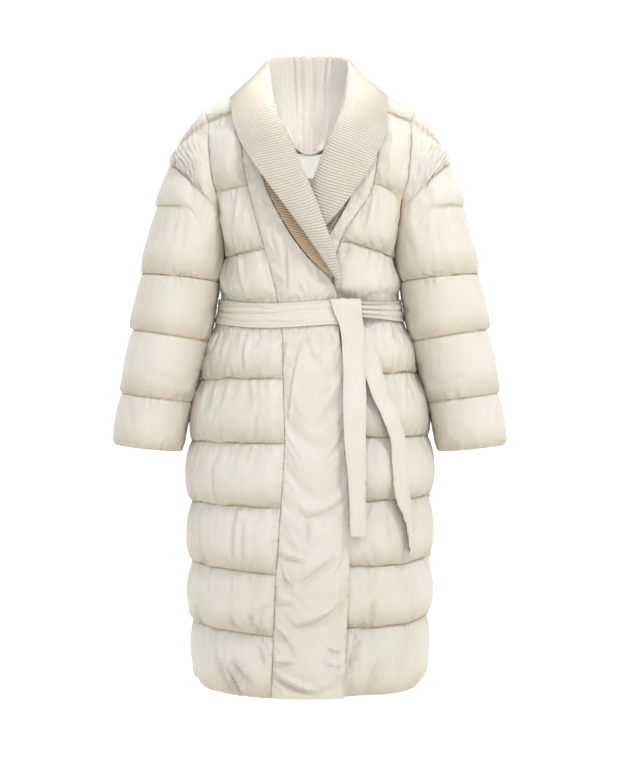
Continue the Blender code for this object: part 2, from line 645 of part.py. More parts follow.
def collar_place(u, v):
    """Points of the collar: v runs up the stand, over the soft roll line and down the fall."""
    place = spread(u, collar_places())
    seam, outward = neckline(place)
    roll = np.stack([read(COLLAR_STATIONS, "roll_" + axis, place, "place") for axis in "xyz"], axis=-1)
    edge = np.stack([read(COLLAR_STATIONS, "edge_" + axis, place, "place") for axis in "xyz"], axis=-1)
    seam = seam + outward * COLLAR_WALL / 2 + unit(roll - seam) * COLLAR_SEAM_GAP
    over = unit(unit(edge - roll) - unit(seam - roll))
    fall = np.linalg.norm(edge - roll, axis=-1, keepdims=True)
    reach = over * ROLL_REACH * np.minimum(fall / FULL_FALL, 1.0)
    rising = seam + (roll - seam) * CURVE_HANDLE
    stand = bezier((seam, rising, roll - reach, roll), np.clip(2.0 * v, 0, 1))
    lift = outward * FALL_LIFT
    shoulder = edge + (roll - edge) * CURVE_HANDLE + reach / 2 + lift
    fold = bezier((roll, roll + reach + lift / 2, shoulder, edge), np.clip(2.0 * v - 1.0, 0, 1))
    return np.where((v > 0.5)[..., None], fold, stand)


# ---------------------------------------------------------------- belt and label
def belt_place(u, v):
    """Points of the inside of the belt's ring round the waist."""
    angle = 2.0 * math.pi * u
    facing_front = np.cos(angle) >= 0.0
    middle = belt_height(WAIST_WIDTH * np.sin(angle), -WAIST_DEPTH * np.cos(angle))
    height = middle + BELT_HEIGHT * (v - 0.5)
    half_width, front = ring_size(height, -1)
    _, back = ring_size(height, 1)
    depth = np.where(facing_front, front, back) + BELT_STANDOFF
    x = (half_width + BELT_STANDOFF) * np.sin(angle)
    return np.stack([x, -depth * np.cos(angle), height], axis=-1)


def strap_place(table):
    """Return place(u, v) of a belt tail from its table of rows."""
    def place(u, v):
        height = read(table, "height", v, "place")
        x = read(table, "left_x", v, "place") * (1.0 - u) + read(table, "right_x", v, "place") * u
        y = read(table, "left_y", v, "place") * (1.0 - u) + read(table, "right_y", v, "place") * u
        return np.stack([x, y, height], axis=-1)

    return place


def label_place(u, v):
    """Points of the label's face, against the lining inside the back neck."""
    height = NECK_LABEL.bottom + (NECK_LABEL.top - NECK_LABEL.bottom) * v
    x = NECK_LABEL.half_width * (1.0 - 2.0 * u)
    points = body_point(turn_at(x, height, 1), height, 1)
    points[..., 1] -= NECK_LABEL.wall + LABEL_STANDOFF
    return points


# ---------------------------------------------------------------- the coat
def make_fronts(collection, shell):
    """The two quilted fronts and their plain bands."""
    def right_side(height):
        return -side_turn(height, -1)

    def left_side(height):
        return side_turn(height, -1)

    rows = len(row_places()) - 1
    right_seam, right_edge = seam_turn(RIGHT_BAND_SEAM), seam_turn(RIGHT_FREE_EDGE)
    left_seam, left_edge = seam_turn(LEFT_BAND_SEAM), seam_turn(LEFT_FREE_EDGE)
    piece = front_piece(right_side, right_seam)
    cloth(collection, "front_right", FRONT_COLUMNS, rows, piece[1],
          quilted_wall(right_side, right_seam, True, piece), shell)
    piece = front_piece(right_seam, right_edge)
    cloth(collection, "band_right", BAND_COLUMNS, rows, piece[1],
          band_wall(piece, right_seam, right_edge), shell)
    piece = front_piece(left_seam, left_side, lap=True)
    cloth(collection, "front_left", FRONT_COLUMNS, rows, piece[1],
          quilted_wall(left_seam, left_side, False, piece), shell)
    piece = front_piece(left_edge, left_seam, lap=True)
    cloth(collection, "band_left", BAND_COLUMNS, rows, piece[1],
          band_wall(piece, left_seam, left_edge), shell)


def make_coat():
    """Build every piece of the coat."""
    collection = start_scene("quilted_wrap_coat")
    shell = make_material("shell", (0.84, 0.80, 0.70), 0.55)
    knit = make_material("rib_knit", (0.78, 0.74, 0.66), 0.90)
    label = make_material("label", (0.85, 0.85, 0.84), 0.60)
    make_fronts(collection, shell)
    rows = len(row_places()) - 1
    cloth(collection, "back", len(back_columns()) - 1, rows, back_place, back_wall, shell)
    sleeve_rows = len(CAP_ROWS) + len(ROW_STEPS) * (len(SLEEVE_SECTIONS) - 1)
    around = len(sleeve_angles()) - 1
    cloth(collection, "sleeve_left", around, sleeve_rows, sleeve_place, sleeve_wall, shell)
    cloth(collection, "sleeve_right", around, sleeve_rows, mirrored(sleeve_place), sleeve_wall,
          shell, flip=True)
    cloth(collection, "collar", len(collar_places()) - 1, COLLAR_ROWS, collar_place, COLLAR_WALL,
          knit, offset=0.0)
    cloth(collection, "belt_waist", BELT_COLUMNS, BELT_ROWS, belt_place, BELT_WALL, shell)
    for name, table in (("belt_tail_front", FRONT_TAIL), ("belt_tail_side", SIDE_TAIL)):
        cloth(collection, name, TAIL_COLUMNS, TAIL_ROWS, strap_place(table), BELT_WALL, shell, flip=True)
    cloth(collection, "neck_label", LABEL_COLUMNS, LABEL_ROWS, label_place, NECK_LABEL.wall, label)


make_coat()
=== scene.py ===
"""The visible model of a long quilted down wrap coat with a rib-knit shawl collar and a tied belt.

Each sub-assembly is a class: the quilted body and sleeves, the plain front bands, the collar, the
belt with its two tails, the neck label and the sewing threads. The down is blown into the quilted
pieces by a short cloth simulation between the sewn lines. Units are metres, +Z is up, -Y is the
front and +X is the coat's left-hand side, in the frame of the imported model.
"""
import logging
from dataclasses import dataclass, field
from enum import Enum
from math import pi, radians, tau
from typing import Any, Callable, Sequence, Union

import bpy
import numpy as np
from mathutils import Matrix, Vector
from mathutils.bvhtree import BVHTree


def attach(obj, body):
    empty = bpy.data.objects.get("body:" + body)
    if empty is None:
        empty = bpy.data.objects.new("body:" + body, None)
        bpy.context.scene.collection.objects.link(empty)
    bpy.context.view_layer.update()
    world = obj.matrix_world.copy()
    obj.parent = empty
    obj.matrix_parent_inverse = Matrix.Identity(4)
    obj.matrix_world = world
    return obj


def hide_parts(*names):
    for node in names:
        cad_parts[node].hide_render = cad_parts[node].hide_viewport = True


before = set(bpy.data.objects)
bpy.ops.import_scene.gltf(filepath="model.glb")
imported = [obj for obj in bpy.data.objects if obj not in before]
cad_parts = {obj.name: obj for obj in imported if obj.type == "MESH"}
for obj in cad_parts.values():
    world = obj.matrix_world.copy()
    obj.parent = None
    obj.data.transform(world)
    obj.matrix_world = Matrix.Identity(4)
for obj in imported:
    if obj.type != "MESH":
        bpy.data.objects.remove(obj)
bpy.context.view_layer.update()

Array = np.ndarray
Object = bpy.types.Object
Material = bpy.types.Material
ByHeight = Callable[[Array], Array]
Runs = list[tuple[Array, Array]]  # rows and fractional columns under rows of stitches
LOG = logging.getLogger("coat")
BODY = "root"  # the one body that every piece rides on
SEAM_GAP = 0.0003  # from a panel's edge to the line of its seam
SAME_PLACE = 1e-6  # distance within which a point lies on a line
ROUNDING = 1e-7
WAVES = 4  # sine waves that add up to an uneven one,
WAVE_SHORTER = 1.7  # each of them shorter than the last by this factor
WAVE_LOWER = 0.6  # and lower by this one
WAVE_PEAK = 2.2  # about the most that they add up to


# ---- curves and tables
class Table:
    """A short table with named columns, read smoothly along its first column."""

    def __init__(self, names: str, *rows: Sequence[float]) -> None:
        """Keep the rows in the order of their first column.

        Args:
            names: the columns' names, the first of them the key.
            rows: one row for each section, in mm or in thousandths of a place.
        """
        columns = np.array(sorted(rows), dtype=float).T / 1000.0
        self.keys = columns[0]
        self.columns = dict(zip(names.split(), columns))

    def read(self, name: str, at: Array) -> Array:
        """Smooth value of one column.

        Args:
            name: the column.
            at: places along the key column.

        Returns:
            The column's values there, held at its ends.
        """
        knots, values = self.keys, self.columns[name]
        slopes = np.gradient(values, knots)
        place = np.clip(at, knots[0], knots[-1])
        low = np.clip(np.searchsorted(knots, place, side="right") - 1, 0, len(knots) - 2)
        step = knots[low + 1] - knots[low]
        t = (place - knots[low]) / step
        start = values[low] * (1.0 + 2.0 * t) * (1.0 - t) ** 2 + step * slopes[low] * t * (1.0 - t) ** 2
        end = values[low + 1] * t ** 2 * (3.0 - 2.0 * t) - step * slopes[low + 1] * t ** 2 * (1.0 - t)
        return start + end


def ease(value: Array) -> Array:
    """Smooth step from 0 to 1 as value goes from 0 to 1."""
    value = np.clip(value, 0.0, 1.0)
    return value * value * (3.0 - 2.0 * value)


def hump(distance: Array, width: float) -> Array:
    """Soft bump of height 1 that dies out at about twice its width."""
    return np.exp(-(distance / width) ** 2)


def unit(vectors: Array) -> Array:
    """Vectors scaled to length 1."""
    return vectors / np.maximum(np.linalg.norm(vectors, axis=-1, keepdims=True), 1e-12)


def grid_normals(points: Array) -> Array:
    """Outward normals of a grid of points, rows by columns."""
    return unit(np.cross(np.gradient(points, axis=1), np.gradient(points, axis=0)))


def bezier(ends: Sequence[Array], along: Array) -> Array:
    """Points along a cubic curve with four control points."""
    t = along[..., None]
    rest = 1.0 - t
    first_half = ends[0] * rest ** 3 + 3.0 * ends[1] * t * rest ** 2
    return first_half + 3.0 * ends[2] * t ** 2 * rest + ends[3] * t ** 3


def wander(at: Array, seed: int, scale: float) -> Array:
    """Slow uneven wave between -1 and 1, the same for the same seed.

    Args:
        at: places along the piece, in metres.
        seed: which wave.
        scale: the length of its longest swing.

    Returns:
        The wave's values.
    """
    draw = np.random.default_rng(seed)
    total = np.zeros_like(np.asarray(at, dtype=float))
    for wave in range(WAVES):
        angle = at * (tau / scale) * WAVE_SHORTER ** wave + draw.uniform(0.0, 6.28)
        total += np.sin(angle) * WAVE_LOWER ** wave
    return total / WAVE_PEAK


class Facing(Enum):
    """Which half of the body's ring a panel lies on."""

    FRONT = -1.0
    BACK = 1.0


class Side(Enum):
    """The coat's right-hand (-X) or left-hand (+X) side."""

    RIGHT = -1.0
    LEFT = 1.0


# ---- the coat's form
RINGS = Table(
    "height half_width front back",
    (-1128, 207, 156, 156), (-1028, 217, 155, 155), (-896, 222, 152, 153), (-790, 222, 149, 151),
    (-663, 223, 145, 148), (-604, 215, 141, 142), (-549, 207, 137, 134), (-500, 196, 132, 124),
    (-447, 183, 126, 114), (-411, 173, 122, 110), (-364, 168, 127, 113), (-310, 160, 136, 119),
    (-230, 168, 141, 125), (-140, 178, 135, 122),
)
SHOULDER_LINE = Table(
    "x height",
    (0, 12), (85, 3), (151, -12), (192, -34), (230, -60),
)
RIGHT_BAND_SEAM = Table(
    "height x",
    (-1128, -70), (-1010, -66), (-895, -61), (-780, -53), (-660, -46), (-544, -49), (-427, -53),
    (-310, -81), (-220, -106), (-140, -123), (0, -126),
)
RIGHT_FREE_EDGE = Table(
    "height x",
    (-1128, 62), (-1000, 67), (-850, 73), (-700, 70), (-550, 64), (-435, 51), (-364, 40), (-318, -5),
    (-235, -60), (-170, -87), (-90, -88), (0, -85),
)
LEFT_BAND_SEAM = Table(
    "height x",
    (-1128, 55), (-780, 53), (-544, 52), (-427, 46), (-350, 42), (-290, 55), (-183, 117), (-140, 124),
    (0, 126),
)
LEFT_FREE_EDGE = Table(
    "height x",
    (-1128, -62), (-850, -66), (-550, -62), (-435, -50), (-364, -40), (-318, 5), (-235, 60), (-170, 87),
    (-90, 88), (0, 85),
)


@dataclass(frozen=True)
class CoatForm:
    """The coat's sewn surface: rings round the body that roll over to the shoulder line."""

    armpit: float = -0.310
    yoke: float = -0.140
    shoulder_y: float = 0.010
    shoulder_spread: float = 0.079
    armhole_depth: float = 0.085
    armhole_middle: float = -0.170
    neck_half: float = 0.085
    back_neck_drop: float = 0.106
    yoke_roundness: float = 0.9
    lap: float = 0.016  # how far the left front lies inside the right one
    lap_side: float = 0.085  # x where that starts to fade, and how far it takes
    lap_fade: float = 0.070
    lap_top: float = -0.120  # height below which it sets in, and how far it takes
    lap_rise: float = 0.120
    trim: float = 0.0001
    waist: float = -0.411
    belt_height: float = 0.045
    belt_depth: float = 0.122  # from the middle of the coat to the belt's front
    belt_dip: float = 0.012  # how far the belt dips towards the knot
    belt_wave: float = 0.004
    belt_wave_width: float = 0.05

    def half_armhole(self, height: Array) -> Array:
        """Half the armhole's front-to-back width; 0 at the armpit and below it."""
        reach = self.armhole_middle - self.armpit
        level = np.clip((height - self.armhole_middle) / reach, -1.0, 1.0)
        return self.armhole_depth * np.sqrt(1.0 - level ** 2)

    def edge(self, height: Array) -> Array:
        """Half width of a panel at its side edge."""
        return RINGS.read("half_width", np.minimum(height, self.yoke))

    def ring(self, height: Array, facing: Facing) -> tuple[Array, Array]:
        """Half width and depth of the full ring that a panel lies on."""
        level = np.minimum(height, self.yoke)
        depth = RINGS.read(facing.name.lower(), level)
        return self.edge(height) / np.sqrt(1.0 - (self.half_armhole(level) / depth) ** 2), depth

    def over(self, height: Array) -> Array:
        """Angle through which the yoke has rounded over at a height."""
        return np.clip((height - self.yoke) / -self.yoke, 0.0, 1.0) * pi / 2

    def side(self, height: Array, facing: Facing) -> Array:
        """Angle round the ring at which a panel ends, at its side seam or armhole."""
        return np.arcsin(np.clip(self.edge(height) / self.ring(height, facing)[0], -1.0, 1.0))

    def turn(self, x: Array, height: Array, facing: Facing) -> Array:
        """Angle round the ring of the point of a panel that has this x."""
        spread = 1.0 + self.shoulder_spread * np.sin(self.over(height))
        return np.arcsin(np.clip(x / (self.ring(height, facing)[0] * spread), -1.0, 1.0))

    def point(self, turn: Array, height: Array, facing: Facing) -> Array:
        """Points of the sewn surface; in the yoke the height is measured along the panel.

        Args:
            turn: angles round the ring.
            height: heights.
            facing: the half of the body.

        Returns:
            The points.
        """
        half_width, depth = self.ring(height, facing)
        over = self.over(height)
        x = half_width * np.sin(turn) * (1.0 + self.shoulder_spread * np.sin(over))
        level_y = facing.value * depth * np.cos(turn)
        y = self.shoulder_y + (level_y - self.shoulder_y) * np.cos(over) ** self.yoke_roundness
        top = SHOULDER_LINE.read("height", np.abs(x))
        z = np.minimum(height, self.yoke) + (top - self.yoke) * np.sin(over)
        return np.stack([x, y, z], axis=-1)

    def outward(self, turn: Array, height: Array, facing: Facing) -> Array:
        """Unit outward direction of the sewn surface."""
        step = 0.0005
        around = self.point(turn + step, height, facing) - self.point(turn - step, height, facing)
        up = self.point(turn, height, facing) - self.point(turn, height - step, facing)
        return -facing.value * unit(np.cross(around, up))

    def lap_inset(self, x: Array, height: Array) -> Array:
        """How far inside the surface the left front lies where the right front covers it."""
        covered = 1.0 - ease((x - self.lap_side) / self.lap_fade)
        return self.lap * covered * ease((self.lap_top - height) / self.lap_rise)

    def belt_middle(self, x: Array, y: Array) -> Array:
        """Height of the belt's middle: it dips towards the knot at the front."""
        front = ease((-y / self.belt_depth + 0.2) / 1.2)
        return self.waist - self.belt_dip * front + self.belt_wave * np.sin(x / self.belt_wave_width) * front

    def beyond_belt(self, points: Array) -> Array:
        """Distance above or below the belt's edges; negative under the belt."""
        away = np.abs(points[..., 2] - self.belt_middle(points[..., 0], points[..., 1]))
        return away - self.belt_height / 2

    def neck_top(self, column: Array) -> Array:
        """Height of the back's top edge, along the panel, at a column from -1 to 1."""
        x = self.point(column * self.side(0.0 * column, Facing.BACK), 0.0 * column, Facing.BACK)[..., 0]
        drop = self.back_neck_drop * (1.0 - np.clip(np.abs(x) / self.neck_half, 0.0, 1.0) ** 2)
        return -np.maximum(drop, self.trim)

    def neck_column(self) -> float:
        """Column of the back, from 0 to 1, at which the neck opening ends."""
        level = np.array(0.0)
        return float(self.turn(np.array(self.neck_half), level, Facing.BACK) / self.side(level, Facing.BACK))


FORM = CoatForm()


# ---- padded cloth
def select_only(*items: Object) -> None:
    """Select these pieces alone, the first of them active."""
    bpy.ops.object.select_all(action="DESELECT")
    for item in items:
        item.select_set(True)
        bpy.context.view_layer.objects.active = items[0]


def spans(points: Array) -> tuple[float, float]:
    """Mean length of a grid's rows, and of its columns."""
    steps = [np.linalg.norm(np.diff(points, axis=axis), axis=-1).sum(axis=axis) for axis in (1, 0)]
    return float(steps[0].mean()), float(steps[1].mean())


def make_grid(name: str, points: Array) -> Object:
    """Add a grid and move it onto a table of points, with its UV map in metres of cloth.

    Args:
        name: the object's name.
        points: rows by columns by 3.

    Returns:
        The new object.
    """
    rows, columns, _ = points.shape
    select_only()
    bpy.ops.mesh.primitive_grid_add(x_subdivisions=columns - 1, y_subdivisions=rows - 1, size=1.0)
    item = bpy.context.object
    item.name = item.data.name = name
    item.data.vertices.foreach_set("co", points.astype(np.float32).ravel())
    layer = item.data.uv_layers.active.uv
    flat = np.empty(len(layer) * 2, dtype=np.float32)
    layer.foreach_get("vector", flat)
    layer.foreach_set("vector", (flat.reshape(-1, 2) * np.float32(spans(points))).ravel())
    item.data.update()
    return item


def coordinates(mesh: bpy.types.Mesh) -> Array:
    """The coordinates of a mesh's vertices, one row each."""
    flat = np.empty(len(mesh.vertices) * 3, dtype=np.float32)
    mesh.vertices.foreach_get("co", flat)
    return flat.reshape(-1, 3).astype(float)


def apply_modifier(item: Object, kind: str, **settings: Any) -> None:
    """Add a modifier with these settings and apply it at once."""
    modifier = item.modifiers.new(kind.title(), kind)
    for key, value in settings.items():
        setattr(modifier, key, value)
    select_only(item)
    bpy.ops.object.modifier_apply(modifier=modifier.name)


def smooth(item: Object, angle: float) -> None:
    """Shade a piece smooth, except across edges sharper than this many degrees."""
    select_only(item)
    bpy.ops.object.shade_smooth_by_angle(angle=radians(angle))


def tag_points(item: Object, name: str, values: Array) -> None:
    """Store one number per vertex as an attribute that a material can read."""
    layer = item.data.attributes.new(name, "FLOAT", "POINT")
    layer.data.foreach_set("value", values.astype(np.float32).ravel())


def complete(item: Object, materials: Sequence[Material], angle: float,
             node: str = "") -> None:
    """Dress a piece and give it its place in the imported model.

    Args:
        item: the piece.
        materials: its materials.
        angle: edges sharper than this many degrees stay sharp.
        node: the solid that it stands for, if there is one.
    """
    item.data.materials.clear()
    for material in materials:
        item.data.materials.append(material)
    smooth(item, angle)
    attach(item, BODY)
    if node:
        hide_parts(node)
    LOG.info("%s: %d faces", item.name, len(item.data.polygons))


def across_rows(points: Array, column: Array) -> Array:
    """One point of each row of a grid, at a fractional column."""
    low = np.clip(np.floor(column).astype(int), 0, points.shape[1] - 2)
    share = (column - low)[:, None]
    row = np.arange(points.shape[0])
    return points[row, low] * (1.0 - share) + points[row, low + 1] * share


def rim(shape: tuple[int, ...]) -> Array:
    """True on the outermost points of a grid."""
    edge = np.ones(shape, dtype=bool)
    edge[1:-1, 1:-1] = False
    return edge


def shown_runs(shown: Array, shortest: int = 4) -> list[Array]:
    """The runs of neighbouring places that are shown, without the very short ones."""
    places = np.flatnonzero(shown)
    runs = np.split(places, np.flatnonzero(np.diff(places) > 1) + 1)
    return [run for run in runs if len(run) >= shortest]


@dataclass(frozen=True)
class SewingThread:
    """Rows of short raised stitches along the sewn lines."""

    material: Material
    pitch: float = 0.0037
    length: float = 0.0027
    width: float = 0.00060
    lift: float = 0.00015  # of the middle of a stitch over the cloth

    def row(self, path: Array) -> Object:
        """One row of stitches.

        Args:
            path: the points that it runs through.

        Returns:
            The stitches as one object.
        """
        curve = bpy.data.curves.new("path", "CURVE")
        curve.dimensions = "3D"
        spline = curve.splines.new("POLY")
        spline.points.add(len(path) - 1)
        spline.points.foreach_set("co", np.pad(path, ((0, 0), (0, 1)), constant_values=1.0).ravel())
        guide = bpy.data.objects.new("path", curve)
        bpy.context.scene.collection.objects.link(guide)
        select_only()
        bpy.ops.mesh.primitive_ico_sphere_add(subdivisions=1, radius=0.5)
        item = bpy.context.object
        item.scale = (self.length, self.width, self.width)
        bpy.ops.object.transform_apply(location=False, rotation=False, scale=True)
        apply_modifier(item, "ARRAY", fit_type="FIT_CURVE", curve=guide, use_relative_offset=False,
                       use_constant_offset=True, constant_offset_displace=(self.pitch, 0.0, 0.0))
        apply_modifier(item, "CURVE", object=guide, deform_axis="POS_X")
        bpy.data.objects.remove(guide, do_unlink=True)
        return item

    def sew(self, name: str, paths: Sequence[Array]) -> Object:
        """Lay stitches along some paths as one piece.

        Args:
            name: the piece's name.
            paths: rows of points on the cloth's face.

        Returns:
            The finished stitches.
        """
        rows = [self.row(path) for path in paths]
        select_only(*rows)
        bpy.ops.object.join()
        item = rows[0]
        item.name = item.data.name = name
        complete(item, [self.material], 80.0)
        return item


@dataclass
class PaddedCloth:
    """A closed padded piece: its lining side on the sewn surface, its outer side blown out."""

    name: str
    base: Array  # the lining side, rows by columns by 3
    wall: Array  # thickness before the down is blown in
    sewn: Array  # True where a seam or a thread holds the cloth
    gather: Array  # 0 to 1, how much extra cloth is gathered there
    crease: Array  # depth of the painted shade: 1 on the threads, less under the bellies and beside seams, 0 away from them
    pucker: Array  # 0 to 1, small upright folds
    ruche: Array  # 0 to 1, small level folds
    droop: Array  # how far the outer side hangs down
    fill: float = 0.6
    lean: tuple[Array, Array] | None = None  # directions to thicken in instead, and their share
    threads: Runs = field(default_factory=list)
    least_wall: float = 0.0012
    outer: Array = field(init=False)

    def __post_init__(self) -> None:
        """Start the outer side at the given thickness."""
        self.normal = grid_normals(self.base)
        if self.lean is not None:
            direction, share = self.lean
            self.normal = unit(self.normal * (1.0 - share[..., None]) + direction * share[..., None])
        self.outer = self.base + self.normal * self.wall[..., None]
        self.outer[..., 2] -= self.droop

    def settle(self, blown: Array, reach: float, slide: float) -> None:
        """Take the blown shape, with each point's movement capped.

        Args:
            blown: where the simulation left the outer side's points.
            reach: the most that a point may move out or in.
            slide: the most that it may move along the cloth.
        """
        moved = blown.reshape(self.base.shape) - self.outer
        out = (moved * self.normal).sum(axis=-1, keepdims=True)
        along = moved - out * self.normal
        far = np.maximum(np.linalg.norm(along, axis=-1, keepdims=True) / slide, 1.0)
        shape = self.outer + np.clip(out, -reach, reach) * self.normal + along / far
        depth = ((shape - self.base) * self.normal).sum(axis=-1, keepdims=True)
        self.outer = shape + np.maximum(self.least_wall - depth, 0.0) * self.normal

    def paths(self, lift: float) -> list[Array]:
        """The paths of the stitches, this far over the outer side."""
        face = self.outer + lift * self.normal
        return [across_rows(face[rows], columns) for rows, columns in self.threads]

    def build(self, outside: Material, lining: Material, slot: str) -> Object:
        """Make the closed piece that stands for the solid of the same name.

        Args:
            outside: the material of the outer side and the edges.
            lining: the material of the side against the wearer.
            slot: the record's material slot; not used.

        Returns:
            The finished object.
        """
        item = make_grid(self.name + "_cloth", self.base)
        count = len(item.data.vertices)
        faces = len(item.data.polygons)
        apply_modifier(item, "SOLIDIFY", thickness=0.001, offset=1.0)
        points = coordinates(item.data)
        first_is_base = np.abs(points[:count] - self.base.reshape(-1, 3)).max() < 10.0 * SAME_PLACE
        outer = slice(count, 2 * count) if first_is_base else slice(0, count)
        points[outer] = self.outer.reshape(-1, 3)
        item.data.vertices.foreach_set("co", points.astype(np.float32).ravel())
        # The crease tag carries the painted shade; pucker and ruche carry the small folds.
        for name, values in (("crease", self.crease), ("pucker", self.pucker), ("ruche", self.ruche)):
            tag_points(item, name, np.concatenate([values.ravel()] * 2))
        complete(item, [outside, lining], 70.0, self.name)
        corner = np.empty(len(item.data.loops), dtype=np.int32)
        item.data.loops.foreach_get("vertex_index", corner)
        starts = np.empty(len(item.data.polygons), dtype=np.int32)
        item.data.polygons.foreach_get("loop_start", starts)
        inner_face = corner[starts] < count if first_is_base else corner[starts] >= count
        inner_face[2 * faces:] = False
        item.data.polygons.foreach_set("material_index", inner_face.astype(np.int32))
        item.data.update()
        return item


@dataclass(frozen=True)
class DownFilling:
    """Blows down into sewn cloth: pressure from inside, with some spare cloth to pucker."""

    pressure: float = 4.0
    slack: float = 0.025
    gathered: float = 0.14
    sag: float = 0.10  # share of gravity that lets the down settle in each channel
    frames: int = 20
    reach: float = 0.0045  # the most that a point moves out or in
    slide: float = 0.0070  # and along the cloth
    quality: int = 5
    mass: float = 0.3
    stretching: float = 15.0
    shearing: float = 5.0
    bending: float = 0.15

    def sheet(self, piece: PaddedCloth) -> Object:
        """Make the outer side of one piece a cloth that is held along its threads.

        Args:
            piece: the padded piece.

        Returns:
            The cloth, ready to be blown up.
        """
        item = make_grid(piece.name + "_blown", piece.outer)
        held = item.vertex_groups.new(name="held")
        held.add([int(index) for index in np.flatnonzero(piece.sewn.ravel())], 1.0, "REPLACE")
        gather = item.vertex_groups.new(name="gather")
        weights = np.round(np.clip(piece.gather.ravel(), 0.0, 1.0), 2)
        for level in np.unique(weights):
            if level > 0.0:
                found = np.flatnonzero(weights == level)
                gather.add([int(index) for index in found], float(level), "REPLACE")
        cloth = item.modifiers.new("Down", "CLOTH")
        settings = cloth.settings
        settings.quality = self.quality
        settings.mass = self.mass
        settings.tension_stiffness = settings.compression_stiffness = self.stretching
        settings.shear_stiffness = self.shearing
        settings.bending_stiffness = self.bending
        settings.vertex_group_mass = "held"
        settings.vertex_group_shrink = "gather"
        settings.shrink_min = -self.slack
        settings.shrink_max = -self.gathered
        settings.use_pressure = True
        settings.uniform_pressure_force = self.pressure
        settings.effector_weights.gravity = self.sag
        cloth.collision_settings.use_collision = False
        cloth.point_cache.frame_start = 1
        cloth.point_cache.frame_end = self.frames + 1
        return item

    def blow(self, pieces: Sequence[PaddedCloth]) -> None:
        """Blow up all the pieces side by side and keep their capped shapes.

        Args:
            pieces: the padded pieces.
        """
        sheets = [self.sheet(piece) for piece in pieces]
        for step in range(1, self.frames + 1):
            bpy.context.scene.frame_set(step)
        depsgraph = bpy.context.evaluated_depsgraph_get()
        for piece, sheet in zip(pieces, sheets):
            piece.settle(coordinates(sheet.evaluated_get(depsgraph).data), self.reach, self.slide)
            bpy.data.objects.remove(sheet, do_unlink=True)
        bpy.context.scene.frame_set(1)


# ---- quilted body
@dataclass(frozen=True)
class Quilting:
    """The sewn lines of the body and the down between them."""

    lines: tuple[float, ...] = (0.0, -0.095, -0.185, -0.310, -0.427, -0.544, -0.662, -0.780,
                                -0.8955, -1.011, -1.128)
    fill: tuple[float, ...] = (0.012, 0.009, 0.010, 0.009, 0.011, 0.014, 0.014, 0.014, 0.014, 0.013)
    cell: float = 0.0042  # size of the cloth's mesh
    seam_wall: float = 0.002  # thickness at the panels' edges and under the belt
    sewn_wall: float = 0.0045  # thickness where a thread holds the cloth
    belly: float = 0.54  # where a channel is fullest, as the down settles
    droop: float = 0.34  # how far the belly hangs down, as a share of its height
    hem_rise: float = 0.022  # how far the hem rises at the side seams
    crowding: float = 0.7  # of the mesh's rows towards the threads
    rise: float = 0.75  # roundness of the bulge over its belly
    fall: float = 2.2  # and below it
    fall_root: float = 0.68
    hang_low: float = 2.2  # how low in the channel the belly hangs most
    thread_shade: float = 0.0022  # width of the warm shade on a thread
    belly_shade: float = 0.55  # its depth on the underside of a belly
    shade_from: float = 0.52  # and where that starts
    seam_shade: float = 0.8  # depth of the shade beside the arm's seams
    seam_shade_width: float = 0.016

    def rows(self, even: bool) -> tuple[Array, Array]:
        """Channel of each row and how far down that channel it lies, from the hem up.

        Args:
            even: whether the rows are evenly spread, and not closer beside the threads.

        Returns:
            The channels and the places down them.
        """
        channel, down = [], []
        for index in reversed(range(len(self.fill))):
            count = round((self.lines[index] - self.lines[index + 1]) / self.cell)
            steps = np.linspace(1.0, 0.0, count + 1)
            if not even:
                steps = steps - self.crowding * np.sin(tau * steps) / tau
            keep = slice(0, None) if index == 0 else slice(0, -1)
            channel += [index] * len(steps[keep])
            down += list(steps[keep])
        return np.array(channel), np.array(down)

    def heights(self, channel: Array, down: Array, shift: Callable[[int], Array]) -> Array:
        """Heights of the grid's points, rows by columns.

        Args:
            channel: the channel of each row.
            down: how far down its channel each row lies.
            shift: how far each line is moved up, at each column.

        Returns:
            The heights, measured along the panel.
        """
        lines = np.stack([height + shift(index) for index, height in enumerate(self.lines)])
        top, bottom = lines[channel], lines[channel + 1]
        return np.minimum(top + (bottom - top) * down[:, None], -FORM.trim)

    def profile(self, down: Array) -> Array:
        """Bulge from 0 to 1 between the thread above and the one below."""
        down = np.clip(down, 0.0, 1.0)
        above = np.sin(0.5 * pi * np.minimum(down / self.belly, 1.0)) ** self.rise
        below = np.clip((down - self.belly) / (1.0 - self.belly), 0.0, 1.0)
        return above * (1.0 - below ** self.fall) ** self.fall_root

    def shade(self, down: Array, away: Array) -> Array:
        """Depth of the warm shade: full on a thread, light on the underside of a belly."""
        under = ease((down - self.shade_from) / (1.0 - self.shade_from))
        return np.maximum(hump(away, self.thread_shade), self.belly_shade * under * (away > 0.0))

    def hang(self, down: Array) -> Array:
        """How far the bulge hangs down, from 0 to 1: most near the thread below."""
        return self.droop * np.sin(pi * np.clip(down, 0.0, 1.0) ** self.hang_low)


QUILTING = Quilting()


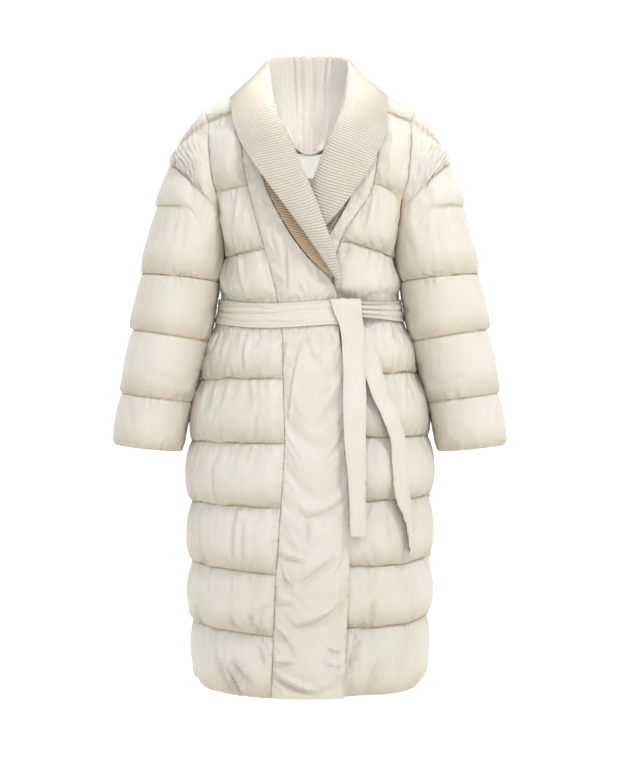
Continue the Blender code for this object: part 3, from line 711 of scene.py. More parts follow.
@dataclass(frozen=True)
class SeamFullness:
    """How much of the down is left on the seams that run on into another quilted piece."""

    shoulder: float = 0.95  # on the armhole seam
    shoulder_from: float = -0.215
    shoulder_rise: float = 0.050
    beside_arm: float = 0.12  # on the side seam beside the arm
    below_arm: float = 0.14  # and how much more below it
    arm_end: float = -0.420
    arm_fade: float = 0.100
    neck_margin: float = 0.010
    neck_fade: float = 0.040

    def below(self, height: Array) -> Array:
        """0 beside the arm, 1 well below it."""
        return ease((self.arm_end - height) / self.arm_fade)

    def armhole(self, height: Array) -> Array:
        """Share on the armhole seam, so that the shoulder runs smoothly into the sleeve."""
        return self.shoulder * ease((height - self.shoulder_from) / self.shoulder_rise)

    def neck(self, x: Array) -> Array:
        """1 on the shoulders, where the down runs over the top; 0 beside the neck."""
        return ease((np.abs(x) - FORM.neck_half - self.neck_margin) / self.neck_fade)

    def side(self, height: Array) -> Array:
        """Share on the side seam and the armhole above it."""
        low = self.beside_arm + self.below_arm * self.below(height)
        return np.where(height > FORM.armpit, self.armhole(height), low)


FULLNESS = SeamFullness()


def beside(distance: Array, held: Array | float = 0.0, reach: float = 0.030) -> Array:
    """Fullness of the down at a distance from a seam; held is what is left on the seam."""
    near = np.clip(distance / reach, 0.0, 1.0)
    return held + (1.0 - held) * np.sqrt(1.0 - (1.0 - near) ** 2)


TUCK_LEAN = (-0.3, 0.3)  # ranges of the tucks' slopes and sizes
TUCK_REACH = (0.025, 0.070)
TUCK_WIDTH = (0.0038, 0.0065)
TUCK_HEIGHT = (0.0020, 0.0046)
TUCK_TROUGH = 0.6  # depth beside a tuck, as a share of its height
PUCKER_RUN = 0.23  # along the thread, from one group of puckers to the next
PUCKER_REACH = 0.022


def tucks(across: Array, above: Array, number: int, seed: int) -> Array:
    """Single upright folds that stand on a thread and fade out above it.

    Args:
        across: distance along the thread, for each point.
        above: distance above the thread, for each point.
        number: how many folds.
        seed: which arrangement.

    Returns:
        The height of the folds.
    """
    random = np.random.default_rng(seed)
    lift = np.zeros_like(across)
    for _ in range(number):
        place, lean, reach = random.uniform(*zip((across.min(), across.max()), TUCK_LEAN, TUCK_REACH))
        width, height = random.uniform(*zip(TUCK_WIDTH, TUCK_HEIGHT))
        fade = np.clip(1.0 - above / reach, 0.0, 1.0) ** 0.7
        offset = across - place - lean * above
        lift += height * fade * (hump(offset, width) - TUCK_TROUGH * hump(offset - 1.5 * width, width))
    return lift


def pucker_map(across: Array, away: Array, seed: int) -> Array:
    """How far cloth is gathered along the threads, from 0 to 1: a few short groups of puckers."""
    groups = np.clip(1.8 * wander(across, seed, PUCKER_RUN) - 0.25, 0.0, 1.0)
    return groups * hump(away, PUCKER_REACH)


@dataclass(frozen=True)
class Fold:
    """One soft fold: a ridge on its lit side, a trough on its shaded side."""

    start: tuple[float, float]  # x and height of its ends
    end: tuple[float, float]
    width: float
    height: float
    bow: float = 0.0
    trough: float = 0.7  # its depth, as a share of the ridge's height
    taper: float = 0.6  # roundness of its ends
    light: tuple[float, float] = (0.5, 0.8)  # x and height towards the light

    def height_at(self, points: Array) -> Array:
        """How far the fold lifts each point.

        Args:
            points: points of the cloth.

        Returns:
            The lift.
        """
        run = np.subtract(self.end, self.start)
        length = float(np.hypot(*run))
        run = run / length
        lit = np.array([-run[1], run[0]])
        lit *= np.sign(lit @ self.light)
        away = points[..., ::2] - self.start
        along = np.clip(away @ run / length, 0.0, 1.0)
        side = (away @ lit - self.bow * np.sin(pi * along)) / self.width
        shape = hump(side - 0.5, 0.8) - self.trough * hump(side + 0.5, 0.8)
        return self.height * shape * np.sin(pi * along) ** self.taper


def folds(*rows: Sequence[float]) -> list[Fold]:
    """Folds from rows of start x and height, end x and height, width, height and bow, in mm."""
    metres = (tuple(value / 1000.0 for value in row) for row in rows)
    return [Fold(row[:2], row[2:4], *row[4:]) for row in metres]


FOLDS: dict[str, list[Fold]] = {
    "band_right": folds(
        (-41, -284, -37, -391, 4.5, 4.9), (-72, -244, -50, -330, 6, 4.2), (-4, -317, 13, -358, 5, 4.2),
        (-20, -363, -4, -394, 4.5, 3.5), (-9, -443, -40, -629, 4.5, 5.9, -4), (-42, -459, -47, -525, 4, 3.5),
        (33, -439, 38, -479, 3.5, 3.1), (5, -444, 0, -470, 3.5, 3.1), (56, -766, -15, -791, 11, 8.1, -4),
        (47, -862, -29, -924, 12, 10.1, 4), (-6, -875, -60, -864, 6, 7.1), (-31, -948, -64, -953, 8, 7.1),
        (49, -959, -31, -992, 9, 9.1, -3), (-35, -1021, -62, -999, 5.5, 6.5),
        (-26, -1057, -68, -1061, 6, 8.1), (-71, -1078, 13, -1114, 7.5, 11.2, -3),
        (22, -1059, 55, -1068, 4, 5.7), (29, -1032, 55, -1043, 4, 5.7), (-51, -897, -35, -919, 4.5, 6.1),
        (2, -793, -4, -848, 9, 5.1), (-20, -656, -28, -729, 10, 3.1)),
    "front_right": folds(
        (-133, -182, -135, -265, 5, 4.2, 2), (-135, -262, -113, -386, 4.5, 5, -3),
        (-162, -327, -154, -385, 4.5, 3.5), (-113, -454, -117, -539, 5, 4.9),
        (-151, -472, -158, -495, 4, 3.1), (-131, -783, -129, -875, 6, 5.2), (-114, -790, -111, -882, 6, 4.9),
        (-107, -963, -87, -1004, 4.2, 7.2), (-141, -969, -120, -1000, 4.5, 6.5),
        (-135, -1054, -94, -1096, 5, 8.6), (-146, -1061, -109, -1133, 5.5, 8.6, 3),
        (-171, -1039, -126, -1134, 6, 8.1, 4), (-90, -1026, -74, -1066, 4.5, 5.7)),
    "front_left": folds(
        (135, -168, 150, -192, 5, 3.9), (105, -265, 116, -297, 4.5, 3.6), (122, -262, 135, -299, 4.5, 3.9),
        (75, -281, 63, -329, 5, 3.6), (121, -947, 110, -982, 6, 7), (88, -1005, 66, -1085, 6, 10.6, 2),
        (130, -1051, 106, -1107, 6, 9.7), (165, -1046, 150, -1080, 6, 6.1), (160, -842, 142, -878, 5, 5.2),
        (112, -776, 104, -804, 5, 4.1)),
}


@dataclass
class BodyPanel:
    """One panel of the body between two edges, quilted or plain."""

    name: str
    facing: Facing
    start: ByHeight  # turn of the edge at u = 0, by height
    end: ByHeight
    columns: int
    quilted: bool = True
    lapped: bool = False  # lies under the other front
    sides: tuple[bool, bool] = (False, False)  # whether each edge is a side seam
    shifts: dict[int, tuple[float, float]] = field(default_factory=dict)
    corner: float = 0.45  # share of the hem that rises to a side seam
    stitch_inset: float = 0.0150  # of the stitched line beside a band's free edge
    stitch_depth: float = 0.0012
    belt_gap: float = 0.004  # between the belt's edge and the nearest stitches
    tucks: int = 5  # single folds in each channel
    seed: int = 1
    line_wander: float = 0.0035  # of a sewn line, up and down
    line_run: float = 0.35
    line_bend: float = 1.8  # how late along the panel a line turns up or down
    side_reach: float = 0.075  # from a side seam to full down
    seam_reach: float = 0.022  # and from a band's seam
    plain_reach: float = 0.020  # and from the seam into a band
    plain_fill: float = 0.004  # thickness of a band's filling
    held: float = 0.002  # the cloth is held until this far beyond the belt
    belt_reach: float = 0.035  # from there to full down
    belt_gathers: float = 0.045  # how far the cloth is gathered beyond the belt
    belt_puckers: float = 0.028  # and how far the small folds show
    line_puckers: float = 0.014  # and beside a sewn line
    ruche_reach: float = 0.012  # and beside a seam
    fold_start: float = 0.006  # from a thread to a full fold
    arm_end: float = -0.500  # height where the shade beside the arm fades out
    arm_fade: float = 0.120

    def shift(self, line: int) -> Array:
        """How far a sewn line is moved up.

        Args:
            line: the line's number, from the top.

        Returns:
            The shift at each column.
        """
        share = np.linspace(0.0, 1.0, self.columns)
        begin, finish = self.shifts.get(line, (0.0, 0.0))
        hem = len(QUILTING.lines) - 1
        swing = 0.0 * share
        if 2 < line < hem:
            swing = self.line_wander * wander(share * 0.3, 40 + line, self.line_run)
        if line == hem:
            for is_side, part in zip(self.sides, (share, 1.0 - share)):
                swing = swing + is_side * QUILTING.hem_rise * np.clip(1.0 - part / self.corner, 0.0, 1.0) ** 2
            return swing
        return begin + (finish - begin) * share ** self.line_bend + swing * np.sin(pi * share)

    def grid(self) -> tuple[Array, Array, Array, Array]:
        """Lay out the panel's points.

        Returns:
            Their turns, heights, channels and places down the channels.
        """
        channel, down = QUILTING.rows(not self.quilted)
        height = QUILTING.heights(channel, down, self.shift)
        if self.facing is Facing.BACK:
            column = np.linspace(1.0, -1.0, self.columns)[None]
            zone = QUILTING.lines[2]  # from here up the lines bend round the neck
            climb = np.clip((height - zone) / -zone, 0.0, 1.0)
            height = np.where(height > zone, zone + (FORM.neck_top(column) - zone) * climb, height)
            gap = SEAM_GAP / FORM.ring(height, self.facing)[0]
            turn = column * (FORM.side(height, self.facing) - gap)
        else:
            gap = SEAM_GAP / FORM.ring(height, self.facing)[0]
            first, last = self.start(height) + gap, self.end(height) - gap
            turn = first + (last - first) * np.linspace(0.0, 1.0, self.columns)[None]
        shape = height.shape
        return turn, height, np.broadcast_to(channel[:, None], shape), np.broadcast_to(down[:, None], shape)

    def base(self, turn: Array, height: Array) -> Array:
        """Points of the panel's lining side."""
        points = FORM.point(turn, height, self.facing)
        if self.lapped:
            points[..., 1] += FORM.lap_inset(points[..., 0], height)
        return points

    def from_edges(self, turn: Array, height: Array) -> tuple[Array, Array]:
        """Distances of points from the panel's edges, along the cloth."""
        half_width = FORM.ring(height, self.facing)[0]
        if self.facing is Facing.BACK:
            away = (FORM.side(height, self.facing) - np.abs(turn)) * half_width
            return away, away
        return np.abs(turn - self.start(height)) * half_width, np.abs(self.end(height) - turn) * half_width

    def edges(self, turn: Array, height: Array) -> Array:
        """Fullness of the down beside the panel's edges.

        Args:
            turn: the points' turns.
            height: their heights.

        Returns:
            The fullness, from 0 to 1.
        """
        held = [FULLNESS.side(height) if is_side else 0.0 for is_side in self.sides]
        reach = [self.side_reach if is_side else self.seam_reach for is_side in self.sides]
        full = np.minimum(*(beside(*edge) for edge in zip(self.from_edges(turn, height), held, reach)))
        if self.facing is Facing.FRONT:
            return full
        column = np.linspace(1.0, -1.0, self.columns)[None]
        on_top = FULLNESS.neck(turn * FORM.ring(height, self.facing)[0])
        top = on_top + (1.0 - on_top) * ease((FORM.neck_top(column) - height) / self.side_reach)
        return np.minimum(full, top)

    def seam_shade(self, turn: Array, height: Array) -> Array:
        """Depth of the warm shade along the armhole and the side seam beside the arm."""
        away = self.from_edges(turn, height)[self.sides.index(True)]
        beside_arm = (1.0 - FULLNESS.armhole(height)) * (1.0 - ease((self.arm_end - height) / self.arm_fade))
        return QUILTING.seam_shade * beside_arm * hump(away, QUILTING.seam_shade_width)

    def cloth(self) -> PaddedCloth:
        """Fill the panel.

        Returns:
            The panel as padded cloth, ready for its down.
        """
        turn, height, channel, down = self.grid()
        base = self.base(turn, height)
        beyond = FORM.beyond_belt(base)
        edges = self.edges(turn, height)
        border = rim(height.shape) | (beyond < self.held)
        gather = 0.5 * hump(np.maximum(beyond, 0.0), self.belt_gathers)
        beside_belt = hump(np.maximum(beyond, 0.0), self.belt_puckers)
        if not self.quilted:
            filled = self.plain_wall(turn, height, base) * ease((beyond - self.held) / 0.030)
            return PaddedCloth(self.name, base, QUILTING.seam_wall + filled, border, gather, 0.0 * filled,
                               beside_belt, (1.0 - edges) * FULLNESS.below(height), 0.0 * filled, 0.3,
                               threads=self.edge_thread(turn, height, beyond))
        across = turn * FORM.ring(height, self.facing)[0]
        span = -np.diff(QUILTING.lines)[channel]
        away = np.minimum(down, 1.0 - down) * span
        full = edges * ease((beyond - 0.006) / self.belt_reach)
        over = FULLNESS.neck(across) * ((channel == 0) & (down < QUILTING.belly))
        bulge = np.array(QUILTING.fill)[channel] * (QUILTING.profile(down) * (1.0 - over) + over) * full
        held = (QUILTING.sewn_wall - QUILTING.seam_wall) * np.minimum(3.0 * full, 1.0)
        folds = self.tuck_heights(across, channel, down, span) * ease(away / self.fold_start)
        folds = folds + sum(fold.height_at(base) for fold in FOLDS.get(self.name, ()))
        wall = QUILTING.seam_wall + held + bulge + folds * np.minimum(2.5 * full, 1.0)
        loose = np.stack([
            pucker_map(across[row], away[row], self.seed * 50 + int(round(channel[row, 0] + down[row, 0])))
            for row in range(len(across))])
        # The crease argument is the painted shade: on the threads, under the bellies and beside the arm's
        # seams.
        return PaddedCloth(self.name, base, wall, border | (away < SAME_PLACE), np.maximum(gather, loose),
                           np.maximum(QUILTING.shade(down, away), self.seam_shade(turn, height)),
                           np.maximum(0.35 * hump(away, self.line_puckers) + loose, beside_belt),
                           hump(np.maximum(edges, 0.0) * self.seam_reach, self.ruche_reach),
                           QUILTING.hang(down) * bulge, 0.7, threads=self.quilting_threads(down, beyond))

    def tuck_heights(self, across: Array, channel: Array, down: Array, span: Array) -> Array:
        """Single folds that stand on each thread and hang from the one above it.

        Args:
            across: distance along the thread, for each point.
            channel: its channel.
            down: how far down the channel it lies.
            span: the channel's height.

        Returns:
            The height of the folds.
        """
        folds = np.zeros_like(across)
        for index in range(2, len(QUILTING.fill)):
            row = channel[:, 0] == index
            seed = self.seed * 20 + index
            folds[row] = tucks(across[row], ((1.0 - down) * span)[row], self.tucks, seed)
            folds[row] += 0.7 * tucks(across[row], (down * span)[row], self.tucks, seed + 9)
        return folds

    def side_seam(self, piece: PaddedCloth, sign: Side) -> Array:
        """Height, thickness and droop of the down along one side seam and armhole, one row each."""
        column = 0 if (self.facing is Facing.BACK) == (sign is Side.LEFT) else -1
        return np.stack([values[:, column] for values in (self.grid()[1], piece.wall, piece.droop)])

    def quilting_threads(self, down: Array, beyond: Array) -> Runs:
        """Rows and columns under the stitches of the sewn lines that the belt leaves bare."""
        sewn = [row for row in np.flatnonzero(down[:, 0] == 1.0) if row > 0]
        runs = [(row, run) for row in sewn for run in shown_runs(beyond[row] > self.belt_gap)]
        return [(np.full(len(run), row), run.astype(float)) for row, run in runs]

    def edge_thread(self, turn: Array, height: Array, beyond: Array) -> Runs:
        """Find the stitched line beside a band's free edge.

        Args:
            turn: the points' turns.
            height: their heights.
            beyond: their distances from the belt.

        Returns:
            Rows and columns under the stitches.
        """
        right = self.name.endswith("right")
        away = self.from_edges(turn, height)[int(right)]
        order = slice(None, None, -1) if right else slice(None)
        places = np.arange(away.shape[1], dtype=float)[order]
        column = np.array([np.interp(self.stitch_inset, row[order], places) for row in away])
        inside = (away.max(axis=1) > self.stitch_inset + 0.004) & (beyond.min(axis=1) > self.belt_gap)
        inside[[0, -1]] = False
        return [(run, column[run]) for run in shown_runs(inside)]

    def plain_wall(self, turn: Array, height: Array, base: Array) -> Array:
        """Light filling of a plain band, with its long soft folds.

        Args:
            turn: the points' turns.
            height: their heights.
            base: the points.

        Returns:
            The filling's thickness.
        """
        begin, finish = self.from_edges(turn, height)
        seam, edge = (begin, finish) if self.name.endswith("right") else (finish, begin)
        full = beside(seam, reach=self.plain_reach)
        filling = self.plain_fill * np.minimum(full, beside(edge, 0.5, 0.010))
        folds = sum(fold.height_at(base) for fold in FOLDS.get(self.name, ()))
        stitched = self.stitch_depth * hump(edge - self.stitch_inset, 0.0030)
        return filling + folds * full * beside(edge, 0.3, 0.012) - stitched


@dataclass
class QuiltedBody:
    """The two fronts with their bands, and the back."""

    front_columns: int = 60
    band_columns: int = 44
    back_columns: int = 126

    def panels(self) -> list[BodyPanel]:
        """Lay out the body.

        Returns:
            Its five panels.
        """
        def seam(table: Table) -> ByHeight:
            """Turn of an edge, by height, from its table of x."""
            return lambda height: FORM.turn(table.read("x", height), height, Facing.FRONT)

        def side(sign: Side) -> ByHeight:
            """Turn of a side seam, by height."""
            return lambda height: sign.value * FORM.side(height, Facing.FRONT)

        right_seam, left_seam = seam(RIGHT_BAND_SEAM), seam(LEFT_BAND_SEAM)
        left_shifts = {1: (0.028, 0.030), 2: (0.003, -0.028), 3: (0.021, -0.019), 5: (0.011, 0.011),
                       6: (0.010, 0.011), 7: (0.010, 0.016), 8: (0.006, 0.018), 9: (0.009, 0.021)}
        right_shifts = {1: (0.030, 0.028), 2: (-0.006, 0.0), 3: (-0.001, 0.008), 7: (0.003, 0.0),
                        8: (0.006, -0.007), 9: (0.007, -0.004)}
        return [
            BodyPanel("front_right", Facing.FRONT, side(Side.RIGHT), right_seam, self.front_columns,
                      sides=(True, False), shifts=right_shifts, seed=1),
            BodyPanel("band_right", Facing.FRONT, right_seam, seam(RIGHT_FREE_EDGE), self.band_columns,
                      quilted=False, seed=2),
            BodyPanel("front_left", Facing.FRONT, left_seam, side(Side.LEFT), self.front_columns,
                      lapped=True, sides=(False, True), shifts=left_shifts, seed=3),
            BodyPanel("band_left", Facing.FRONT, seam(LEFT_FREE_EDGE), left_seam, self.band_columns,
                      quilted=False, lapped=True, seed=4),
            BodyPanel("back", Facing.BACK, side(Side.LEFT), side(Side.RIGHT), self.back_columns,
                      sides=(True, True), corner=0.15, tucks=9, seed=5),
        ]


# ---- sleeves
SLEEVE_RINGS = Table(
    "place outer_x outer_z inner_x inner_z half_depth middle_y",
    (0, 316, -343, 178, -357, 68, -16), (1000, 334, -450, 199, -471, 68, -20),
    (2000, 355, -571, 231, -587, 66, -22), (3000, 369, -669, 251, -681, 62, -24),
)


@dataclass(frozen=True)
class SleeveLine:
    """One sewn line of a sleeve, nearly straight from its outer end to its inner end."""

    outer_x: float
    outer_z: float
    inner_x: float
    inner_z: float
    fill_below: float
    bow: float = 0.0

    def height_at(self, x: Array) -> Array:
        """The line's height at each x."""
        share = (x - self.inner_x) / (self.outer_x - self.inner_x)
        arch = self.bow * 4.0 * share * (1.0 - share)
        return self.inner_z + (self.outer_z - self.inner_z) * share + arch


@dataclass
class QuiltedSleeve:
    """One sleeve: a gathered cap and straight channels."""

    side: Side
    front_seam: Array  # height, thickness and droop of the front along the armhole
    back_seam: Array  # and of the back
    columns: int = 104
    cap_rows: int = 120
    ring_rows: int = 25
    gathers: float = 0.0048  # height of the gathered folds on the cap
    cap_fullness: float = 0.031
    cap_depth: float = 0.008
    underarm_ease: float = 0.0056
    least_span: float = 0.004  # of a channel
    full_span: float = 0.050  # of a channel that fills out
    merging: int = 3  # the line that ends before it reaches the arm's outer side
    merge_from: float = 0.200  # x where it starts to fade, and how far it takes
    merge_width: float = 0.045
    merged_fill: float = 0.85  # fullness where it has gone
    fan_start: float = 0.166  # x where the gathers begin
    fan_low: float = -0.205  # height below which they are closest
    fan_rise: float = 0.130
    fan_width: float = 0.025  # of the eight gathers there, and how much wider they open above
    fan_opening: float = 0.061
    arm_round: float = 0.066  # radius of the arm
    near_body: float = 0.030  # reach of the body's thickness into the sleeve
    lines: tuple[SleeveLine, ...] = (
        SleeveLine(0.262, -0.020, 0.185, 0.030, 0.012),
        SleeveLine(0.268, -0.124, 0.182, -0.058, 0.009, 0.008),
        SleeveLine(0.266, -0.130, 0.180, -0.217, 0.008),
        SleeveLine(0.289, -0.214, 0.180, -0.2285, 0.008),
        SleeveLine(0.316, -0.343, 0.180, -0.357, 0.007),
        SleeveLine(0.337, -0.450, 0.203, -0.471, 0.006),
        SleeveLine(0.359, -0.571, 0.234, -0.587, 0.006),
        SleeveLine(0.374, -0.669, 0.251, -0.681, 0.006),
    )

    def inward(self, angle: Array) -> Array:
        """0 on the arm's outer side, 1 on the side against the body."""
        return 0.5 - 0.5 * np.cos(angle)

    def ahead(self, angle: Array) -> Array:
        """Whether each angle lies on the front half."""
        return np.sin(angle) > -0.001

    def armhole_height(self, angle: Array) -> Array:
        """Height of the armhole's points, measured along the body's panels."""
        return FORM.armpit * self.inward(angle)

    def on_body(self, read: Callable[[Array, Array, Facing], Array], angle: Array) -> Array:
        """What a method of the body's form gives along the armhole."""
        height = np.minimum(self.armhole_height(angle), -FORM.trim)
        front, back = (read(FORM.side(height, facing), height, facing) for facing in Facing)
        return np.where(self.ahead(angle)[..., None], front, back)

    def armhole(self, angle: Array) -> Array:
        """Points of the armhole: 0 is the shoulder, then the front, the armpit and the back."""
        points = self.on_body(FORM.point, angle)
        points[..., 0] += SEAM_GAP + self.underarm_ease * self.inward(angle) ** 1.5
        return points

    def surface(self, angle: Array, row: Array) -> Array:
        """Points of the sewn surface.

        Args:
            angle: angles round the arm.
            row: 0 at the armhole, 1 to 4 down the rings.

        Returns:
            The points.
        """
        size = {name: SLEEVE_RINGS.read(name, np.maximum(row - 1.0, 0.0)) for name in SLEEVE_RINGS.columns}
        outward = 0.5 + 0.5 * np.cos(angle)
        ring = np.stack([
            size["inner_x"] + (size["outer_x"] - size["inner_x"]) * outward,
            size["middle_y"] - size["half_depth"] * np.sin(angle),
            size["inner_z"] + (size["outer_z"] - size["inner_z"]) * outward,
        ], axis=-1)
        cap = np.clip(row, 0.0, 1.0)
        points = self.armhole(angle) * (1.0 - cap)[..., None] + ring * cap[..., None]
        bulge = self.cap_fullness * np.sin(pi * cap ** 0.7) * outward
        points += bulge[..., None] * (0.93, 0.0, 0.37)
        points[..., 1] -= self.cap_depth * np.sin(pi * cap) * np.sin(angle)
        return points

    def aligned_rows(self, angle: Array) -> tuple[Array, Array]:
        """Rows moved so that in every column one of them lies on each sewn line.

        Args:
            angle: the columns' angles.

        Returns:
            The rows, and which points lie on a thread.
        """
        counts = [self.cap_rows] + [self.ring_rows] * 3
        steps = [index + np.arange(count) / count for index, count in enumerate(counts)]
        plain = np.concatenate(steps + [[4.0]])
        rows = np.repeat(plain[:, None], len(angle), axis=1)
        sewn = np.zeros(rows.shape, dtype=bool)
        fine = np.linspace(0.0, 4.0, 1601)
        points = self.surface(*np.broadcast_arrays(angle[None], fine[:, None]))
        for line in self.lines[1:-1]:
            above = points[..., 2] - line.height_at(points[..., 0])
            crossed = (above[:-1] > 0.0) & (above[1:] <= 0.0)
            for column in np.flatnonzero(crossed.any(axis=0)):
                step = int(crossed[:, column].argmax())
                part = above[step, column] / (above[step, column] - above[step + 1, column])
                place = fine[step] + part * (fine[step + 1] - fine[step])
                nearest = int(np.abs(plain - place).argmin())
                if 0 < nearest < len(plain) - 1:
                    rows[nearest, column] = place
                    sewn[nearest, column] = True
        return rows, sewn

    def channels(self, heights: Array, z: Array) -> tuple[Array, Array, Array]:
        """Find the channel of each point.

        Args:
            heights: the height of each line there.
            z: the points' heights.

        Returns:
            The channel, its height and how far down it the point lies.
        """
        zone = np.clip((z <= heights + ROUNDING).sum(axis=0) - 1, 0, len(self.lines) - 2)
        top, bottom = (np.take_along_axis(heights, zone[None] + below, axis=0)[0] for below in (0, 1))
        span = np.maximum(top - bottom, self.least_span)
        return zone, span, np.clip((top - z) / span, 0.0, 1.0)

    def bulge(self, zone: Array, span: Array, down: Array, merged: Array, above: Array) -> Array:
        """How far the down blows out each channel.

        Args:
            zone: the channel of each point.
            span: the height of that channel.
            down: how far down it the point lies.
            merged: how far the merging line has faded.
            above: height above that line.

        Returns:
            The bulge, before it is held back beside the body.
        """
        on_top = (zone == 0) & (down < QUILTING.belly)
        shape = np.where(on_top, 1.0, QUILTING.profile(down)) * ease(span / self.full_span)
        filled = self.merged_fill * ease(down)
        shape = np.where(zone == self.merging - 1, shape + (filled - shape) * merged, shape)
        faint = merged * np.where(zone == self.merging, hump(above, 0.030), 0.0)
        shape += (self.merged_fill - shape) * faint
        return np.array([line.fill_below for line in self.lines])[zone] * shape

    def pleats(self, x: Array, z: Array) -> Array:
        """The cap's upright gathers, which fan out from the shoulder: above 0 on a fold."""
        width = self.fan_width + self.fan_opening * ease((z - self.fan_low) / self.fan_rise)
        fan = (x - self.fan_start) / width
        return np.abs(np.sin(pi * 8.0 * fan + 0.9 * wander(z, 7, 0.1))) ** 0.7 - 0.6

    def threads(self, sewn: Array, heights: Array, z: Array) -> Runs:
        """Find the stitched lines.

        Args:
            sewn: which points lie on a thread.
            heights: the height of each line there.
            z: the points' heights.

        Returns:
            Rows and columns under the stitches of each line.
        """
        found = []
        for line in heights[1:-1]:
            on_line = sewn & (np.abs(z - line) < SAME_PLACE)
            found += [(on_line[:, run].argmax(axis=0), run) for run in shown_runs(on_line.any(axis=0))]
        return found

    def cloth(self) -> PaddedCloth:
        """Fill the sleeve.

        Returns:
            The sleeve as padded cloth, ready for its down.
        """
        turn = np.linspace(-pi, pi, self.columns)
        if self.side is Side.RIGHT:
            turn = turn[::-1]
        rows, sewn = self.aligned_rows(turn)
        angle = np.broadcast_to(turn[None], rows.shape)
        base = self.surface(angle, rows)
        x, z = base[..., 0], base[..., 2]
        heights = np.stack([line.height_at(x) for line in self.lines])
        zone, span, down = self.channels(heights, z)
        above_merging = z - heights[self.merging]
        merged = 1.0 - ease((x - self.merge_from) / self.merge_width)
        sewn &= (np.abs(above_merging) > SAME_PLACE) | (merged < 0.5)
        from_armhole = np.linalg.norm(base - self.armhole(angle), axis=-1)
        on_seam = FULLNESS.armhole(self.armhole_height(angle))
        full = (1.0 - 0.6 * self.inward(angle) ** 2) * beside(from_armhole, on_seam)
        bulge = self.bulge(zone, span, down, merged, above_merging) * full
        faded = np.where(down > 0.5, zone == self.merging - 1, zone == self.merging) * merged
        away = np.minimum(down, 1.0 - down) * span + 0.03 * faded
        gathered = np.where(zone == 1, np.sin(pi * np.clip(down, 0.0, 1.0)) ** 0.3, 0.0)
        reached = gathered + 0.5 * np.where(zone == 0, hump(away, 0.020), 0.0)
        pleat = self.pleats(x, z)
        front = ease((np.sin(angle) + 0.3) / 0.6)
        held = (QUILTING.sewn_wall - QUILTING.seam_wall) * np.minimum(3.0 * full, 1.0)
        wall = QUILTING.seam_wall + held + bulge
        wall += self.gathers * pleat * reached * np.minimum(3.0 * full, 1.0) * (0.3 + 0.7 * front)
        near_body = hump(from_armhole, self.near_body)
        at_front, at_back = ([np.interp(self.armhole_height(angle), seam[0], values) for values in seam[1:]]
                             for seam in (self.front_seam, self.back_seam))
        wall_there, droop_there = np.where(self.ahead(angle), at_front, at_back)
        wall += (wall_there - wall) * near_body
        droop = QUILTING.hang(down) * bulge
        droop += (droop_there - droop) * near_body
        around = angle * self.arm_round
        slim = ease(span / self.full_span)
        for index in range(self.merging, len(self.lines) - 1):
            folds = tucks(around, (1.0 - down) * span, 7, 90 + index)
            folds = folds * slim * np.minimum(2.5 * full, 1.0) * ease(away / 0.006)
            wall += np.where(zone == index, folds, 0.0)
        nearest = [int(np.median(zone[row] + np.round(down[row]))) for row in range(len(rows))]
        loose = np.stack([pucker_map(around[row], away[row], 300 + 7 * line)
                          for row, line in enumerate(nearest)])
        loose *= slim * ease(np.abs(above_merging) / 0.045)
        # Painted shade: darker in the valleys of the cap's gathers, on the side that faces the body and
        # beside the armhole seam, besides the shade on the threads and under the bellies.
        valley_shade = np.clip(-pleat / 0.6, 0.0, 1.0) ** 2 * gathered * front * ease(away / 0.010)
        shaded = np.where(zone >= self.merging, QUILTING.shade(down, away), hump(away, QUILTING.thread_shade))
        body_side_shade = 0.4 * self.inward(angle) ** 4
        beside_seam = QUILTING.seam_shade * hump(from_armhole, QUILTING.seam_shade_width) * (1.0 - on_seam)
        crease = np.maximum.reduce([shaded, 0.6 * valley_shade, body_side_shade, beside_seam])
        mirror = np.array([self.side.value, 1.0, 1.0])
        lean = (self.on_body(FORM.outward, angle) * mirror, near_body * np.minimum(on_seam / 0.9, 1.0))
        return PaddedCloth("sleeve_" + self.side.name.lower(), base * mirror, wall, sewn | rim(rows.shape),
                           np.maximum(loose, 0.4 * gathered), crease, 0.35 * hump(away, 0.014) + loose,
                           hump(from_armhole, 0.010) * (1.0 - on_seam), droop, 0.7, lean,
                           self.threads(sewn, heights, z))


# ---- collar
NECK_ROLL = Table(
    "place roll_x roll_y roll_z edge_x edge_y edge_z",
    (-1000, 59, -136, -362, 57, -142, -373), (-880, 46, -147, -312, 18, -163, -316),
    (-760, 27, -156, -260, -14, -170, -271), (-640, 5, -158, -203, -48, -171, -225),
    (-540, -13, -153, -162, -77, -166, -186), (-450, -29, -145, -122, -107, -154, -142),
    (-370, -50, -133, -77, -129, -124, -103), (-290, -67, -93, -20, -144, -105, -58),
    (-210, -77, -46, 34, -150, -46, -12), (-140, -80, 22, 78, -150, 36, 1),
    (-70, -56, 76, 98, -98, 110, -45), (0, 0, 93, 104, 0, 138, -72), (70, 55, 76, 98, 98, 110, -45),
    (140, 76, 22, 78, 147, 36, 1), (210, 72, -42, 28, 147, -66, -15), (290, 60, -95, -37, 141, -124, -83),
    (370, 43, -137, -94, 124, -135, -130), (450, 24, -145, -133, 106, -142, -164),
    (540, 10, -144, -170, 83, -146, -197), (640, -5, -136, -203, 55, -145, -234),
    (760, -27, -126, -260, 22, -138, -270), (880, -46, -117, -312, -18, -124, -316),
    (1000, -58, -107, -362, -56, -109, -371),
)


